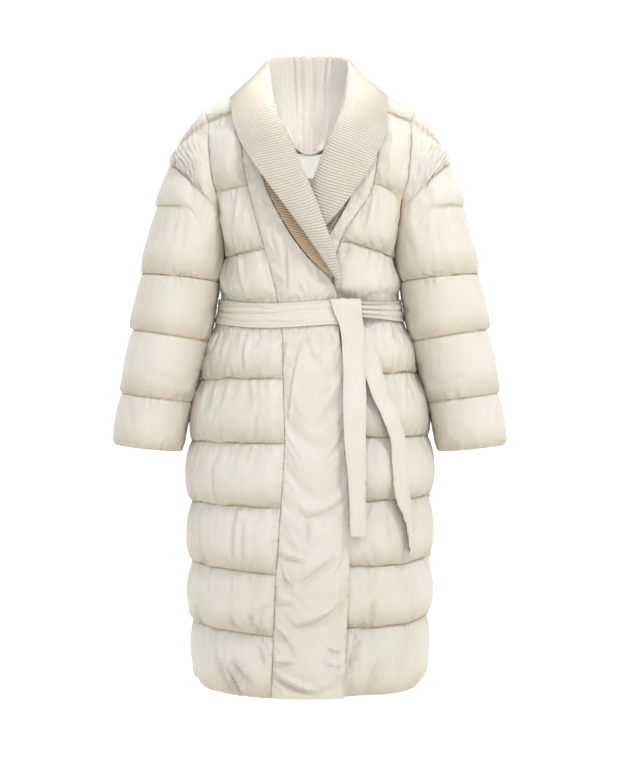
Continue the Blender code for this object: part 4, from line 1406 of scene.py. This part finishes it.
@dataclass
class ShawlCollar:
    """The rib-knit collar: a stand on the neckline, a soft roll and a wide fall."""

    wall: float = 0.0026
    cad_wall: float = 0.004
    seam_gap: float = 0.0022
    tuck: float = 0.004  # how far the stand reaches below the back's neckline
    side_tuck: float = 0.020  # and further on either side of the middle
    tuck_depth: float = 0.0030  # and how far inside it
    hollow: float = 0.009  # how far the front of the stand sinks in
    shoulder: float = 0.20  # place of the shoulder line along the collar
    end_height: float = -0.3451
    front_from: float = 0.15  # place where the fronts' shape starts, and how far it takes
    front_fade: float = 0.07
    lift: float = 0.010  # of the fall over a straight line from its roll to its edge
    handle: float = 0.013  # roundness of the roll
    rib: float = 0.0056  # pitch of the ribs
    rib_depth: float = 0.0011
    ribs_per_wave: float = 6.0  # of the soft folds inside the neck
    wave_depth: float = 0.0034
    columns_per_rib: int = 6
    rows: int = 26

    def neckline(self, place: Array) -> tuple[Array, Array]:
        """Trace the neckline.

        Args:
            place: places along the collar, from -1 to 1.

        Returns:
            Its points and the coat's outward direction there.
        """
        front = np.abs(place) > self.shoulder
        share = (np.abs(place) - self.shoulder) / (1.0 - self.shoulder)
        height = np.where(front, self.end_height * share, 0.0)
        x = np.where(place < 0.0, RIGHT_FREE_EDGE.read("x", height), LEFT_FREE_EDGE.read("x", height))
        ahead = FORM.point(FORM.turn(x, height, Facing.FRONT), height, Facing.FRONT)
        ahead[..., 1] += np.where(place > 0.0, FORM.lap_inset(x, height), 0.0)
        column = FORM.neck_column() * np.sin(np.clip(place / self.shoulder, -1.0, 1.0) * pi / 2)
        back_height = FORM.neck_top(column)
        behind = FORM.point(column * FORM.side(back_height, Facing.BACK), back_height, Facing.BACK)
        over = FORM.over(np.where(front, height, back_height))
        facing = np.where(front, -1.0, 1.0)
        outward = np.stack([np.zeros_like(over), facing * np.cos(over), np.sin(over)], axis=-1)
        return np.where(front[..., None], ahead, behind), outward

    def surface(self, place: Array, rise: Array) -> Array:
        """Middle of the knit.

        Args:
            place: places along the collar.
            rise: up the stand to 0.5, then down the fall to 1.

        Returns:
            The points.
        """
        seam, outward = self.neckline(place)
        roll, edge = (np.stack([NECK_ROLL.read(line + axis, place) for axis in "xyz"], axis=-1)
                      for line in ("roll_", "edge_"))
        front = ease((np.abs(place) - self.front_from) / self.front_fade)[..., None]
        hold = self.cad_wall / 2 * front - self.tuck_depth * (1.0 - front)
        tuck = self.tuck + self.side_tuck * hump(np.abs(place) - 0.10, 0.06)[..., None]
        seam = seam + outward * hold + unit(roll - seam) * (self.seam_gap * front - tuck * (1.0 - front))
        over = unit(unit(edge - roll) - unit(seam - roll))
        fall = np.linalg.norm(edge - roll, axis=-1, keepdims=True)
        reach = over * self.handle * np.minimum(fall / 0.06, 1.0) * (0.45 + 0.55 * front)
        sunk = outward * self.hollow * front
        low = seam + (roll - seam) * 0.45 - sunk
        stand = bezier((seam, low, roll - reach, roll), np.clip(2.0 * rise, 0, 1))
        raised = outward * self.lift * (front - 0.35 * (1.0 - front))
        bend = edge + (roll - edge) * 0.45 + reach * 0.5 + raised
        fold = bezier((roll, roll + reach + raised * 0.5, bend, edge), np.clip(2.0 * rise - 1.0, 0, 1))
        return np.where((rise > 0.5)[..., None], fold, stand)

    def rib_places(self) -> tuple[Array, Array]:
        """Space the columns evenly along the ribs.

        Returns:
            Their places along the collar, and how many ribs lie before each.
        """
        fine = np.linspace(-1.0, 1.0, 2001)
        line = self.surface(fine, np.full_like(fine, 0.78))
        length = np.concatenate([[0.0], np.cumsum(np.linalg.norm(np.diff(line, axis=0), axis=-1))])
        ribs = round(length[-1] / self.rib)
        count = np.linspace(0.0, ribs, ribs * self.columns_per_rib + 1)
        return np.interp(count / ribs * length[-1], length, fine), count

    def build(self, knit: Material) -> Object:
        """Make the collar with its ribs.

        Args:
            knit: its material.

        Returns:
            The finished collar.
        """
        place, count = self.rib_places()
        rise = np.linspace(0.0, 1.0, self.rows + 1)
        place_grid, rise_grid = np.meshgrid(place, rise)
        middle = self.surface(place_grid, rise_grid)
        ridge = 2.0 * np.abs(np.sin(pi * count)) ** 0.8 - 1.0
        pitch = np.linalg.norm(np.gradient(middle, axis=1), axis=-1) * self.columns_per_rib
        depth = self.rib_depth * np.minimum(pitch / self.rib, 1.0) ** 1.6
        behind = hump(place_grid, 0.20) * ease((0.56 - rise_grid) / 0.08)
        depth = depth * (1.0 - 0.55 * behind)
        wave = np.sin(tau * count / self.ribs_per_wave + 2.6 * wander(place_grid, 61, 0.07))
        wave = self.wave_depth * wave * hump(place_grid, 0.16) * hump(rise_grid - 0.30, 0.20)
        points = middle - grid_normals(middle) * (depth * ridge[None] + wave)[..., None]
        item = make_grid("collar_knit", points)
        # The ridge tag also sets the painted shade in the grooves; the last tag marks the inside of the
        # collar's front, which gets a darker painted shade.
        tag_points(item, "ridge", ridge[None] * (1.0 - 0.45 * behind) + 0.45 * behind)
        tag_points(item, "rib", np.broadcast_to(count[None], points.shape[:2]))
        tag_points(item, "deep", ease((0.46 - rise_grid) / 0.20) * ease((np.abs(place_grid) - 0.24) / 0.10))
        apply_modifier(item, "SOLIDIFY", thickness=self.wall, offset=0.0)
        complete(item, [knit], 80.0, "collar")
        return item


# ---- belt
@dataclass(frozen=True)
class Strap:
    """The sewn belt tube: a flat strap with a stitched line near each edge."""

    wall: float = 0.0026
    inset: float = 0.0042  # of the stitched lines from the edges
    groove: float = 0.0007  # depth and width of the dent along them
    groove_width: float = 0.0012

    def relief(self, across: Array, width: float) -> Array:
        """Height of the strap's face over its middle surface, across its width in metres."""
        from_edge = np.minimum(across, width - across)
        return -self.groove * hump(from_edge - self.inset, self.groove_width)

    def finish(self, item: Object, node: str, material: Material, flat: tuple[float, float],
               held: str) -> Object:
        """Give a strap its thickness, material and place in the frame.

        Args:
            item: its middle surface.
            node: the solid that it stands for.
            material: its material.
            flat: its width and length; not used.
            held: how it is held; not used.

        Returns:
            The finished strap.
        """
        apply_modifier(item, "SOLIDIFY", thickness=self.wall, offset=0.0)
        complete(item, [material], 60.0, node)
        return item


FRONT_TAIL = Table(
    "place left_x left_y right_x right_y height",
    (0, 41, -114, 90, -103, -404), (15, 39, -118, 92, -107, -397.5), (35, 38, -126, 94, -115, -398.5),
    (60, 40, -130, 95, -119, -406), (90, 45, -130, 96, -119, -422), (130, 52, -130, 98, -119, -438),
    (280, 60, -138.5, 101, -130, -503), (500, 61, -159, 103, -152, -607),
    (660, 64, -164, 101, -156, -672), (800, 70, -166, 101, -158, -738), (1000, 74, -169, 103, -160, -830),
)
SIDE_TAIL = Table(
    "place left_x left_y right_x right_y height",
    (0, 82, -112.5, 112, -100.5, -450), (150, 92, -124, 126, -114, -500),
    (300, 110, -138, 143, -127.5, -565), (420, 131, -141.5, 163, -129, -610),
    (540, 149, -138, 177, -120, -660), (660, 152, -137.2, 181, -115.2, -715),
    (780, 159, -137.2, 185, -111.2, -770), (880, 178, -135.2, 191, -105.2, -815),
    (1000, 186, -133.2, 190, -99.2, -867),
)


@dataclass
class TiedBelt:
    """The belt round the waist and its two hanging tails."""

    strap: Strap = Strap()
    width: float = 0.045
    standoff: float = 0.0042
    knot_turn: float = 0.44  # where the ring closes, behind the knot
    ring_columns: int = 300
    ring_rows: int = 36
    tail_rows: int = 150
    tail_columns: int = 18
    clearance: float = 0.0012  # of the tails from what they lie on
    radius: float = 0.15  # of the waist, to measure along it
    pull: float = 0.75  # how far round the knot pleats the ring
    narrowing: float = 0.40
    pull_lift: float = 0.004
    pleat: float = 0.0030
    pleats: float = 3.0
    creases: tuple[tuple[int, float, float], ...] = (  # seed, height up the strap and rise
        (12, 0.62, 0.0026), (14, 0.30, 0.0018), (16, 0.80, 0.0014))
    tail_bend: float = 0.0024  # slow bends of the tails,
    tail_sway: float = 0.0014  # shorter ones,
    tail_ripple: float = 0.0012  # and ripples near the tips' edges
    passes: int = 6  # of spreading where a tail is pushed out
    before: float = -0.6  # a place in front of the whole coat

    def edge_lines(self, face: Array) -> list[Array]:
        """Paths of the stitches beside the two long edges of a strap's face, laid out by columns."""
        steps = face.shape[1] - 1
        inset = self.strap.inset / self.width * steps
        return [across_rows(face, np.full(face.shape[0], column)) for column in (inset, steps - inset)]

    def waist(self, fabric: Material, thread: SewingThread) -> Object:
        """Make the ring round the waist, pleated where it is pulled to the knot.

        Args:
            fabric: its material.
            thread: the thread along its edges.

        Returns:
            The finished ring.
        """
        angle = self.knot_turn + np.linspace(0.0, tau, self.ring_columns)
        share = np.linspace(0.0, 1.0, self.ring_rows)
        angle, share = np.meshgrid(angle, share)
        pulled = hump(np.mod(angle - self.knot_turn, tau) - 0.02, self.pull)
        middle = FORM.belt_middle(0.17 * np.sin(angle), -0.12 * np.cos(angle))
        width = self.width * (1.0 - self.narrowing * pulled)
        height = middle + self.pull_lift * pulled + width * (share - 0.5)
        half_width, front = FORM.ring(height, Facing.FRONT)
        back = FORM.ring(height, Facing.BACK)[1]
        depth = np.where(np.cos(angle) >= 0.0, front, back)
        outward = self.standoff + self.strap.wall / 2
        pleat = self.pleat * np.cos(tau * share * self.pleats) * pulled
        along = angle * self.radius
        crease = 0.0012 * wander(along + 0.5 * share * self.width, 11, 0.20) * np.sin(pi * share)
        for seed, level, rise in self.creases:
            offset = share - level - 0.13 * wander(along, seed, 0.30)
            shown = np.clip(0.6 + 0.8 * wander(along, seed + 1, 0.24), 0.0, 1.0)
            crease += rise * shown * (hump(offset - 0.05, 0.07) - hump(offset + 0.05, 0.06)) * (1.0 - pulled)
        outward = outward + pleat + crease + self.strap.relief(share * self.width, self.width)
        x, y = (half_width + outward) * np.sin(angle), -(depth + outward) * np.cos(angle)
        points = np.stack([x, y, height], axis=-1)
        item = make_grid("belt_waist_strap", points)
        face = points + unit(points * (1.0, 1.0, 0.0)) * (self.strap.wall / 2 + thread.lift)
        thread.sew("belt_waist_stitches", self.edge_lines(face.swapaxes(0, 1)))
        flat = (self.width, round(spans(points)[0], 3))
        return self.strap.finish(item, "belt_waist", fabric, flat, "gathered")

    def push(self, points: Array, under: Sequence[BVHTree]) -> Array:
        """Clear what lies under a tail.

        Args:
            points: the tail's middle surface.
            under: the shapes that it lies on.

        Returns:
            How far each point moves forwards, spread over the strap.
        """
        front = points[..., 1].copy()
        for place in np.ndindex(front.shape):
            x, _, z = points[place]
            for tree in under:
                hit = tree.ray_cast(Vector((x, self.before, z)), Vector((0.0, 1.0, 0.0)))[0]
                if hit is not None and hit.y < 0.0:
                    front[place] = min(front[place], hit.y - self.clearance - self.strap.wall / 2)
        push = front - points[..., 1]
        for _ in range(self.passes):
            padded = np.pad(push, 1, mode="edge")
            mean = (padded[:-2, 1:-1] + padded[2:, 1:-1] + padded[1:-1, :-2] + padded[1:-1, 2:]) / 4
            push = np.minimum(push, mean)
        return push

    def tail(self, name: str, table: Table, under: Sequence[BVHTree], fabric: Material,
             thread: SewingThread, seed: int) -> Object:
        """One hanging tail, laid on what is under it.

        Args:
            name: the solid's name.
            table: its edges, from the belt down to the tip.
            under: the shapes that it lies on.
            fabric: its material.
            thread: the thread along its edges.
            seed: which creases.

        Returns:
            The finished tail.
        """
        place = np.linspace(1.0, 0.0, self.tail_rows)[:, None]
        share = np.linspace(0.0, 1.0, self.tail_columns)[None]
        corner = {column: table.read(column, place) for column in table.columns}
        x, y = (corner["left_" + axis] * (1.0 - share) + corner["right_" + axis] * share for axis in "xy")
        z = corner["height"] + 0.0 * share
        points = np.stack([x, y, z], axis=-1)
        along = z.max() - z
        free = ease((place - 0.10) / 0.15)
        near_tip = ease((place - 0.45) / 0.30) * (hump(share, 0.22) + hump(1.0 - share, 0.22))
        bend = self.tail_bend * wander(along + 0.4 * x, seed, 0.26) * free
        bend = bend + self.tail_sway * wander(along * 0.6 + 2.5 * x, seed + 1, 0.07)
        bend = bend + self.tail_ripple * near_tip * wander(along, seed + 2, 0.022)
        bend = bend + self.strap.relief(share * self.width, self.width)
        points = points + grid_normals(points) * (self.strap.wall / 2 + bend)[..., None]
        points[..., 1] += self.push(points, under)
        item = make_grid(name + "_strap", points)
        face = points + grid_normals(points) * (self.strap.wall / 2 + thread.lift)
        thread.sew(name + "_stitches", self.edge_lines(face))
        across, length = spans(points)
        return self.strap.finish(item, name, fabric, (round(across, 3), round(length, 3)), "hung")


@dataclass
class NeckLabel:
    """The bare woven label inside the back neck."""

    half_width: float = 0.027
    top: float = -0.109
    bottom: float = -0.138
    wall: float = 0.0006
    standoff: float = 0.0022

    def build(self, cloth: Material, thread: SewingThread) -> Object:
        """Make the label against the lining.

        Args:
            cloth: its material.
            thread: the thread round it.

        Returns:
            The finished label.
        """
        x = np.linspace(self.half_width, -self.half_width, 28)[None]
        height = np.linspace(self.bottom, self.top, 16)[:, None]
        x, height = np.broadcast_arrays(x, height)
        points = FORM.point(FORM.turn(x, height, Facing.BACK), height, Facing.BACK)
        from_end = self.half_width - np.abs(x)
        points[..., 1] -= self.wall + self.standoff - 0.0006 * hump(from_end, 0.003)
        item = make_grid("neck_label_woven", points)
        apply_modifier(item, "SOLIDIFY", thickness=self.wall, offset=0.0)
        complete(item, [cloth], 50.0, "neck_label")
        face = points - np.array([0.0, self.wall / 2 + thread.lift, 0.0])
        edges = [face[1, 1:-1], face[-2, 1:-1], face[1:-1, 1], face[1:-1, -2]]
        thread.sew("neck_label_stitches", edges)
        return item


# ---- finishes
Operand = Union["Signal", float]


class Signal:
    """A node's output that takes part in Python expressions."""

    def __init__(self, graph: "Graph", socket: bpy.types.NodeSocket) -> None:
        """Wrap one output socket."""
        self.graph = graph
        self.socket = socket

    def __add__(self, other: Operand) -> "Signal":
        """Sum."""
        return self.graph.maths("ADD", self, other)

    __radd__ = __add__

    def __sub__(self, other: Operand) -> "Signal":
        """Difference."""
        return self.graph.maths("SUBTRACT", self, other)

    def __rsub__(self, other: Operand) -> "Signal":
        """Difference from a number."""
        return self.graph.maths("SUBTRACT", other, self)

    def __mul__(self, other: Operand) -> "Signal":
        """Product."""
        return self.graph.maths("MULTIPLY", self, other)

    __rmul__ = __mul__


class Graph:
    """The node tree of a material or a world, written as expressions."""

    def __init__(self, owner: bpy.types.ID, shader: str = "Principled BSDF") -> None:
        """Switch on the owner's nodes and find its one shader."""
        self.owner = owner
        owner.use_nodes = True
        self.tree = owner.node_tree
        self.shader = self.tree.nodes[shader]

    def node(self, kind: str, settings: dict[str, Any], inputs: dict[Any, Any], output: int = 0) -> Signal:
        """Add a node.

        Args:
            kind: the node's type.
            settings: its properties.
            inputs: a value or a signal for each input, by name or number.
            output: which output is wanted.

        Returns:
            That output.
        """
        made = self.tree.nodes.new(kind)
        for key, value in settings.items():
            setattr(made, key, value)
        for key, value in inputs.items():
            self.feed(made.inputs[key], value)
        return Signal(self, made.outputs[output])

    def feed(self, socket: bpy.types.NodeSocket, value: Any) -> None:
        """Link a signal to a socket, or set its value."""
        if isinstance(value, Signal):
            self.tree.links.new(value.socket, socket)
        else:
            socket.default_value = value

    def maths(self, operation: str, *values: Operand) -> Signal:
        """A Math node on one to three values."""
        return self.node("ShaderNodeMath", {"operation": operation}, dict(enumerate(values)))

    def sine(self, value: Operand) -> Signal:
        """Sine of a value in radians."""
        return self.maths("SINE", value)

    def rescaled(self, value: Signal, *ends: float, kind: str = "LINEAR") -> Signal:
        """A value taken from the range of the first two ends to that of the last two."""
        return self.node("ShaderNodeMapRange", {"interpolation_type": kind}, dict(enumerate((value, *ends))))

    def between(self, value: Signal, low: float, high: float) -> Signal:
        """0 below low, 1 above high, smooth between."""
        return self.rescaled(value, low, high, 0.0, 1.0, kind="SMOOTHSTEP")

    def mix(self, factor: Operand, first: Any, second: Any) -> Signal:
        """Mix of two colours."""
        return self.node("ShaderNodeMix", {"data_type": "RGBA"}, {0: factor, 6: first, 7: second}, output=2)

    def noise(self, where: Signal, scale: float, detail: float = 2.0, roughness: float = 0.5) -> Signal:
        """Noise from 0 to 1."""
        inputs = {"Vector": where, "Scale": scale, "Detail": detail, "Roughness": roughness}
        return self.node("ShaderNodeTexNoise", {}, inputs)

    def place(self, output: int = 3) -> Signal:
        """Object coordinates, the UV map's with output 2, or generated ones with output 0."""
        return self.node("ShaderNodeTexCoord", {}, {}, output)

    def part(self, where: Signal, axis: int) -> Signal:
        """One coordinate: 0 for X, 1 for Y, 2 for Z."""
        return self.node("ShaderNodeSeparateXYZ", {}, {0: where}, axis)

    def stretched(self, where: Signal, scale: tuple[float, float, float]) -> Signal:
        """Coordinates scaled apart along their axes."""
        return self.node("ShaderNodeMapping", {}, {"Vector": where, "Scale": scale})

    def attribute(self, name: str) -> Signal:
        """A number stored on the mesh."""
        return self.node("ShaderNodeAttribute", {"attribute_name": name}, {}, output=2)

    def bump(self, height: Signal, distance: float, strength: float,
             normal: "Signal | None" = None) -> Signal:
        """A normal bent by a height."""
        inputs = {"Height": height, "Distance": distance, "Strength": strength}
        if normal is not None:
            inputs["Normal"] = normal
        return self.node("ShaderNodeBump", {}, inputs)

    def dress(self, **inputs: Any) -> Any:
        """Set the shader's inputs, written with underscores for spaces, and return the owner."""
        for key, value in inputs.items():
            self.feed(self.shader.inputs[key.replace("_", " ")], value)
        return self.owner


Colour = tuple[float, float, float, float]


@dataclass(frozen=True)
class ShellFinish:
    """Matt down-proof cloth with a fine weave, small soft wrinkles and a warm painted shade in its creases.
    """

    name: str
    colour: Colour = (0.672, 0.655, 0.605, 1.0)
    worn: Colour = (0.630, 0.595, 0.515, 1.0)
    # thread: the warm dark colour of the painted shade, which the crease tag mixes in
    thread: Colour = (0.40, 0.29, 0.17, 1.0)
    roughness: float = 0.52
    weave: float = 0.0007  # pitch of the weave
    wrinkle: float = 0.0022  # height of the small wrinkles
    folds: float = 95.0  # gathered folds in a metre
    fold_height: float = 0.0075

    def material(self) -> Material:
        """Build the finish."""
        graph = Graph(bpy.data.materials.new(self.name))
        uv, place = graph.place(2), graph.place()
        soft = graph.noise(place, 9.0, 3.0)
        crease = graph.attribute("crease")
        toned = graph.mix(graph.between(soft, 0.35, 0.75) * 0.5, self.colour, self.worn)
        # Painted shade: the crease tag darkens the cloth towards the warm shade colour along the sewn lines,
        # under each belly, beside the arm's seams, in the sleeves' gathers and on the sleeves' sides against
        # the body.
        toned = graph.mix(crease * 0.55, toned, self.thread)
        small = graph.noise(graph.stretched(place, (1.0, 1.0, 0.45)), 42.0, 3.0, 0.55)
        turn = tau / self.weave
        weave = graph.sine(graph.part(uv, 0) * turn) * graph.sine(graph.part(uv, 1) * turn)
        upright = graph.noise(graph.stretched(place, (1.0, 1.0, 0.16)), self.folds, 1.5, 0.5)
        level = graph.noise(graph.stretched(place, (0.16, 0.16, 1.0)), self.folds, 1.5, 0.5)
        gathered = graph.attribute("pucker") * upright + graph.attribute("ruche") * level
        bent = graph.bump(gathered, self.fold_height, 0.9, graph.bump(small, self.wrinkle * 2.0, 0.55))
        bent = graph.bump(weave, 0.00006, 0.5, bent)
        rough = self.roughness + 0.10 * (soft - 0.5) + 0.04 * weave
        return graph.dress(Base_Color=toned, Roughness=rough, Normal=bent, Sheen_Weight=0.12,
                           Sheen_Roughness=0.5, Specular_IOR_Level=0.38)


@dataclass(frozen=True)
class KnitFinish:
    """Soft rib knit: small stitches along every rib, a darker painted shade in each groove and a light fuzz.
    """

    name: str = "rib_knit_wool"
    colour: Colour = (0.668, 0.642, 0.592, 1.0)
    # groove: the painted shade in the grooves between the ribs
    groove: Colour = (0.470, 0.425, 0.360, 1.0)
    shaded: Colour = (0.640, 0.510, 0.365, 1.0)  # painted shade inside the collar's front: ribs
    shaded_grooves: Colour = (0.110, 0.066, 0.030, 1.0)  # and the darker painted shade in the grooves between them
    stitch: float = 0.0034  # length of one stitch along the rib

    def material(self) -> Material:
        """Build the finish."""
        graph = Graph(bpy.data.materials.new(self.name))
        uv, place = graph.place(2), graph.place()
        along = graph.part(uv, 1)
        ridge, rib = graph.attribute("ridge"), graph.attribute("rib")
        lean = graph.maths("PINGPONG", rib, 0.5)
        stitches = graph.sine((along + lean * self.stitch * 1.2) * (tau / self.stitch))
        fuzz = graph.noise(place, 900.0, 2.0, 0.6)
        blotch = graph.noise(place, 30.0, 3.0)
        # Painted shade: the grooves between the ribs are darker, less so inside the back of the stand.
        deep = 1.0 - graph.between(ridge, -0.9, 0.3)
        toned = graph.mix(deep * 0.85 + 0.10 * (blotch - 0.5), self.colour, self.groove)
        # Painted shade inside the collar's front, under the fall: light ribs and near-black grooves.
        inside = graph.mix(1.0 - graph.between(ridge, -0.1, 0.95), self.shaded, self.shaded_grooves)
        toned = graph.mix(graph.attribute("deep") * 0.85, toned, inside)
        bent = graph.bump(stitches * 0.5 + fuzz * 0.5, 0.0005, 0.6)
        return graph.dress(Base_Color=toned, Roughness=0.92 - 0.06 * fuzz, Normal=bent, Sheen_Weight=0.45,
                           Sheen_Roughness=0.6, Specular_IOR_Level=0.2)


@dataclass(frozen=True)
class ThreadFinish:
    """Twisted sewing thread, a little darker than the shell."""

    name: str = "sewing_thread"
    colour: Colour = (0.660, 0.625, 0.550, 1.0)
    groove: Colour = (0.520, 0.470, 0.380, 1.0)
    twist: float = 0.0005  # pitch of the twisted strands

    def material(self) -> Material:
        """Build the finish."""
        graph = Graph(bpy.data.materials.new(self.name))
        place = graph.place()
        strands = graph.sine((graph.part(place, 0) + graph.part(place, 2)) * (tau / self.twist))
        toned = graph.mix(strands * 0.3 + 0.3, self.colour, self.groove)
        return graph.dress(Base_Color=toned, Roughness=0.5 + 0.05 * strands, Sheen_Weight=0.2,
                           Normal=graph.bump(strands, 0.00008, 0.6))


@dataclass(frozen=True)
class LiningFinish:
    """Smooth taffeta lining, darker than the shell."""

    name: str = "lining_taffeta"
    colour: Colour = (0.520, 0.450, 0.350, 1.0)

    def material(self) -> Material:
        """Build the finish."""
        graph = Graph(bpy.data.materials.new(self.name))
        place = graph.place()
        soft = graph.noise(place, 14.0, 3.0)
        toned = graph.mix(soft * 0.4, self.colour, tuple(0.9 * part for part in self.colour[:3]) + (1.0,))
        fine = graph.noise(graph.stretched(place, (1.0, 1.0, 6.0)), 700.0, 1.0)
        bent = graph.bump(fine, 0.0001, 0.5, graph.bump(soft, 0.003, 0.5))
        return graph.dress(Base_Color=toned, Roughness=0.38 + 0.1 * soft, Normal=bent)


@dataclass(frozen=True)
class LabelFinish:
    """White woven satin."""

    name: str = "label_satin"
    colour: Colour = (0.86, 0.87, 0.84, 1.0)
    groove: Colour = (0.76, 0.77, 0.73, 1.0)
    warp: float = 9000.0  # turns of the weave, in radians a metre, across
    weft: float = 15000.0  # and along the label

    def material(self) -> Material:
        """Build the finish."""
        graph = Graph(bpy.data.materials.new(self.name))
        uv = graph.place(2)
        along, across = graph.sine(graph.part(uv, 1) * self.weft), graph.sine(graph.part(uv, 0) * self.warp)
        weave = along * 0.6 + across * 0.4
        toned = graph.mix(0.15 * weave + 0.15, self.colour, self.groove)
        bent = graph.bump(weave, 0.00008, 0.6)
        return graph.dress(Base_Color=toned, Roughness=0.45 + 0.05 * weave, Normal=bent)


# ---- studio
@dataclass
class Studio:
    """Camera, soft light and a plain pale floor."""

    eye: tuple[float, float, float] = (0.0003, -2.6, -0.543)
    lens: float = 63.7
    floor_height: float = -1.42
    ahead: float = 0.40  # brightness of the room in front of the coat
    behind: float = 1.08  # and behind it, where the camera looks
    overhead: float = 0.90  # extra light from straight above
    floor_tone: tuple[float, float, float] = (0.95, 0.925, 0.875)
    contrast: float = 0.80

    def camera(self) -> None:
        """A level camera straight in front of the coat."""
        data = bpy.data.cameras.new("camera")
        data.lens = self.lens
        data.sensor_width = 36.0
        item = bpy.data.objects.new("camera", data)
        item.location = self.eye
        item.rotation_euler = (pi / 2, 0.0, 0.0)
        bpy.context.scene.collection.objects.link(item)
        bpy.context.scene.camera = item

    def lamp(self, name: str, place: Sequence[float], target: Sequence[float], size: float, power: float,
             spread: float = 180.0) -> None:
        """A square soft light.

        Args:
            name: its name.
            place: where it stands.
            target: what it faces.
            size: its side.
            power: its power in watts.
            spread: the full angle of its beam in degrees.
        """
        data = bpy.data.lights.new(name, "AREA")
        data.size = size
        data.energy = power
        data.spread = radians(spread)
        data.color = (1.0, 0.99, 0.97)
        item = bpy.data.objects.new(name, data)
        item.location = place
        item.rotation_euler = (Vector(target) - Vector(place)).to_track_quat("-Z", "Y").to_euler()
        bpy.context.scene.collection.objects.link(item)

    def sky(self) -> None:
        """Soft white light all round, brighter from above."""
        world = bpy.context.scene.world = bpy.data.worlds.new("room")
        graph = Graph(world, "Background")
        where = graph.place(0)
        level = graph.rescaled(graph.part(where, 1), -0.3, 0.5, self.ahead, self.behind)
        above = graph.rescaled(graph.part(where, 2), 0.1, 1.0, 0.0, self.overhead)
        graph.dress(Color=(1.0, 1.0, 1.0, 1.0), Strength=level + above)

    def build(self) -> None:
        """Set up the room."""
        self.camera()
        self.lamp("key", (1.1, -1.6, 1.25), (0.0, 0.0, -0.45), 0.45, 21.0)
        self.lamp("fill", (0.0, -2.5, 0.70), (0.0, 0.0, -0.25), 0.9, 11.5)
        self.lamp("collar", (0.0, -0.75, 0.42), (0.0, 0.10, -0.075), 0.10, 0.12, 20.0)
        self.sky()
        bpy.context.scene.view_settings.view_transform = "Standard"
        bpy.context.scene.view_settings.gamma = self.contrast
        select_only()
        bpy.ops.mesh.primitive_plane_add(size=60.0, location=(0.0, 0.0, self.floor_height))
        floor = bpy.context.object
        floor.name = "floor"
        graph = Graph(bpy.data.materials.new("pale_floor"))
        tones = [(*(share * part for part in self.floor_tone), 1.0) for share in (1.0, 0.98)]
        toned = graph.mix(graph.noise(graph.place(), 3.0), *tones)
        floor.data.materials.append(graph.dress(Base_Color=toned, Roughness=0.9))


# ---- the coat
def surface_tree(item: Object) -> BVHTree:
    """A search tree of a finished piece's faces."""
    return BVHTree.FromObject(item, bpy.context.evaluated_depsgraph_get())


def main() -> None:
    """Build the coat and its studio."""
    logging.basicConfig(level=logging.INFO, format="%(name)s: %(message)s")
    Studio().build()
    shell = ShellFinish("shell_nylon").material()
    belt_cloth = ShellFinish("belt_nylon", (0.668, 0.650, 0.597, 1.0), wrinkle=0.0010).material()
    knit = KnitFinish().material()
    lining = LiningFinish().material()
    panels = QuiltedBody().panels()
    quilted = [panel.cloth() for panel in panels]
    sleeves = []
    for side in Side:
        seams = {panel.name: panel.side_seam(piece, side) for panel, piece in zip(panels, quilted)}
        sleeves.append(QuiltedSleeve(side, seams["front_" + side.name.lower()], seams["back"]).cloth())
    DownFilling().blow(quilted + sleeves)
    made = {piece.name: piece.build(shell, lining, "shell") for piece in quilted + sleeves}
    thread = SewingThread(ThreadFinish().material())
    for piece in quilted + sleeves:
        thread.sew(piece.name + "_stitches", piece.paths(thread.lift))
    ShawlCollar().build(knit)
    belt = TiedBelt()
    waist = belt.waist(belt_cloth, thread)
    under = [surface_tree(item) for item in (made["band_right"], made["front_left"], waist)]
    side_tail = belt.tail("belt_tail_side", SIDE_TAIL, under, belt_cloth, thread, 21)
    under.append(surface_tree(side_tail))
    belt.tail("belt_tail_front", FRONT_TAIL, under, belt_cloth, thread, 31)
    NeckLabel().build(LabelFinish().material(), thread)


if __name__ == "__main__":
    main()
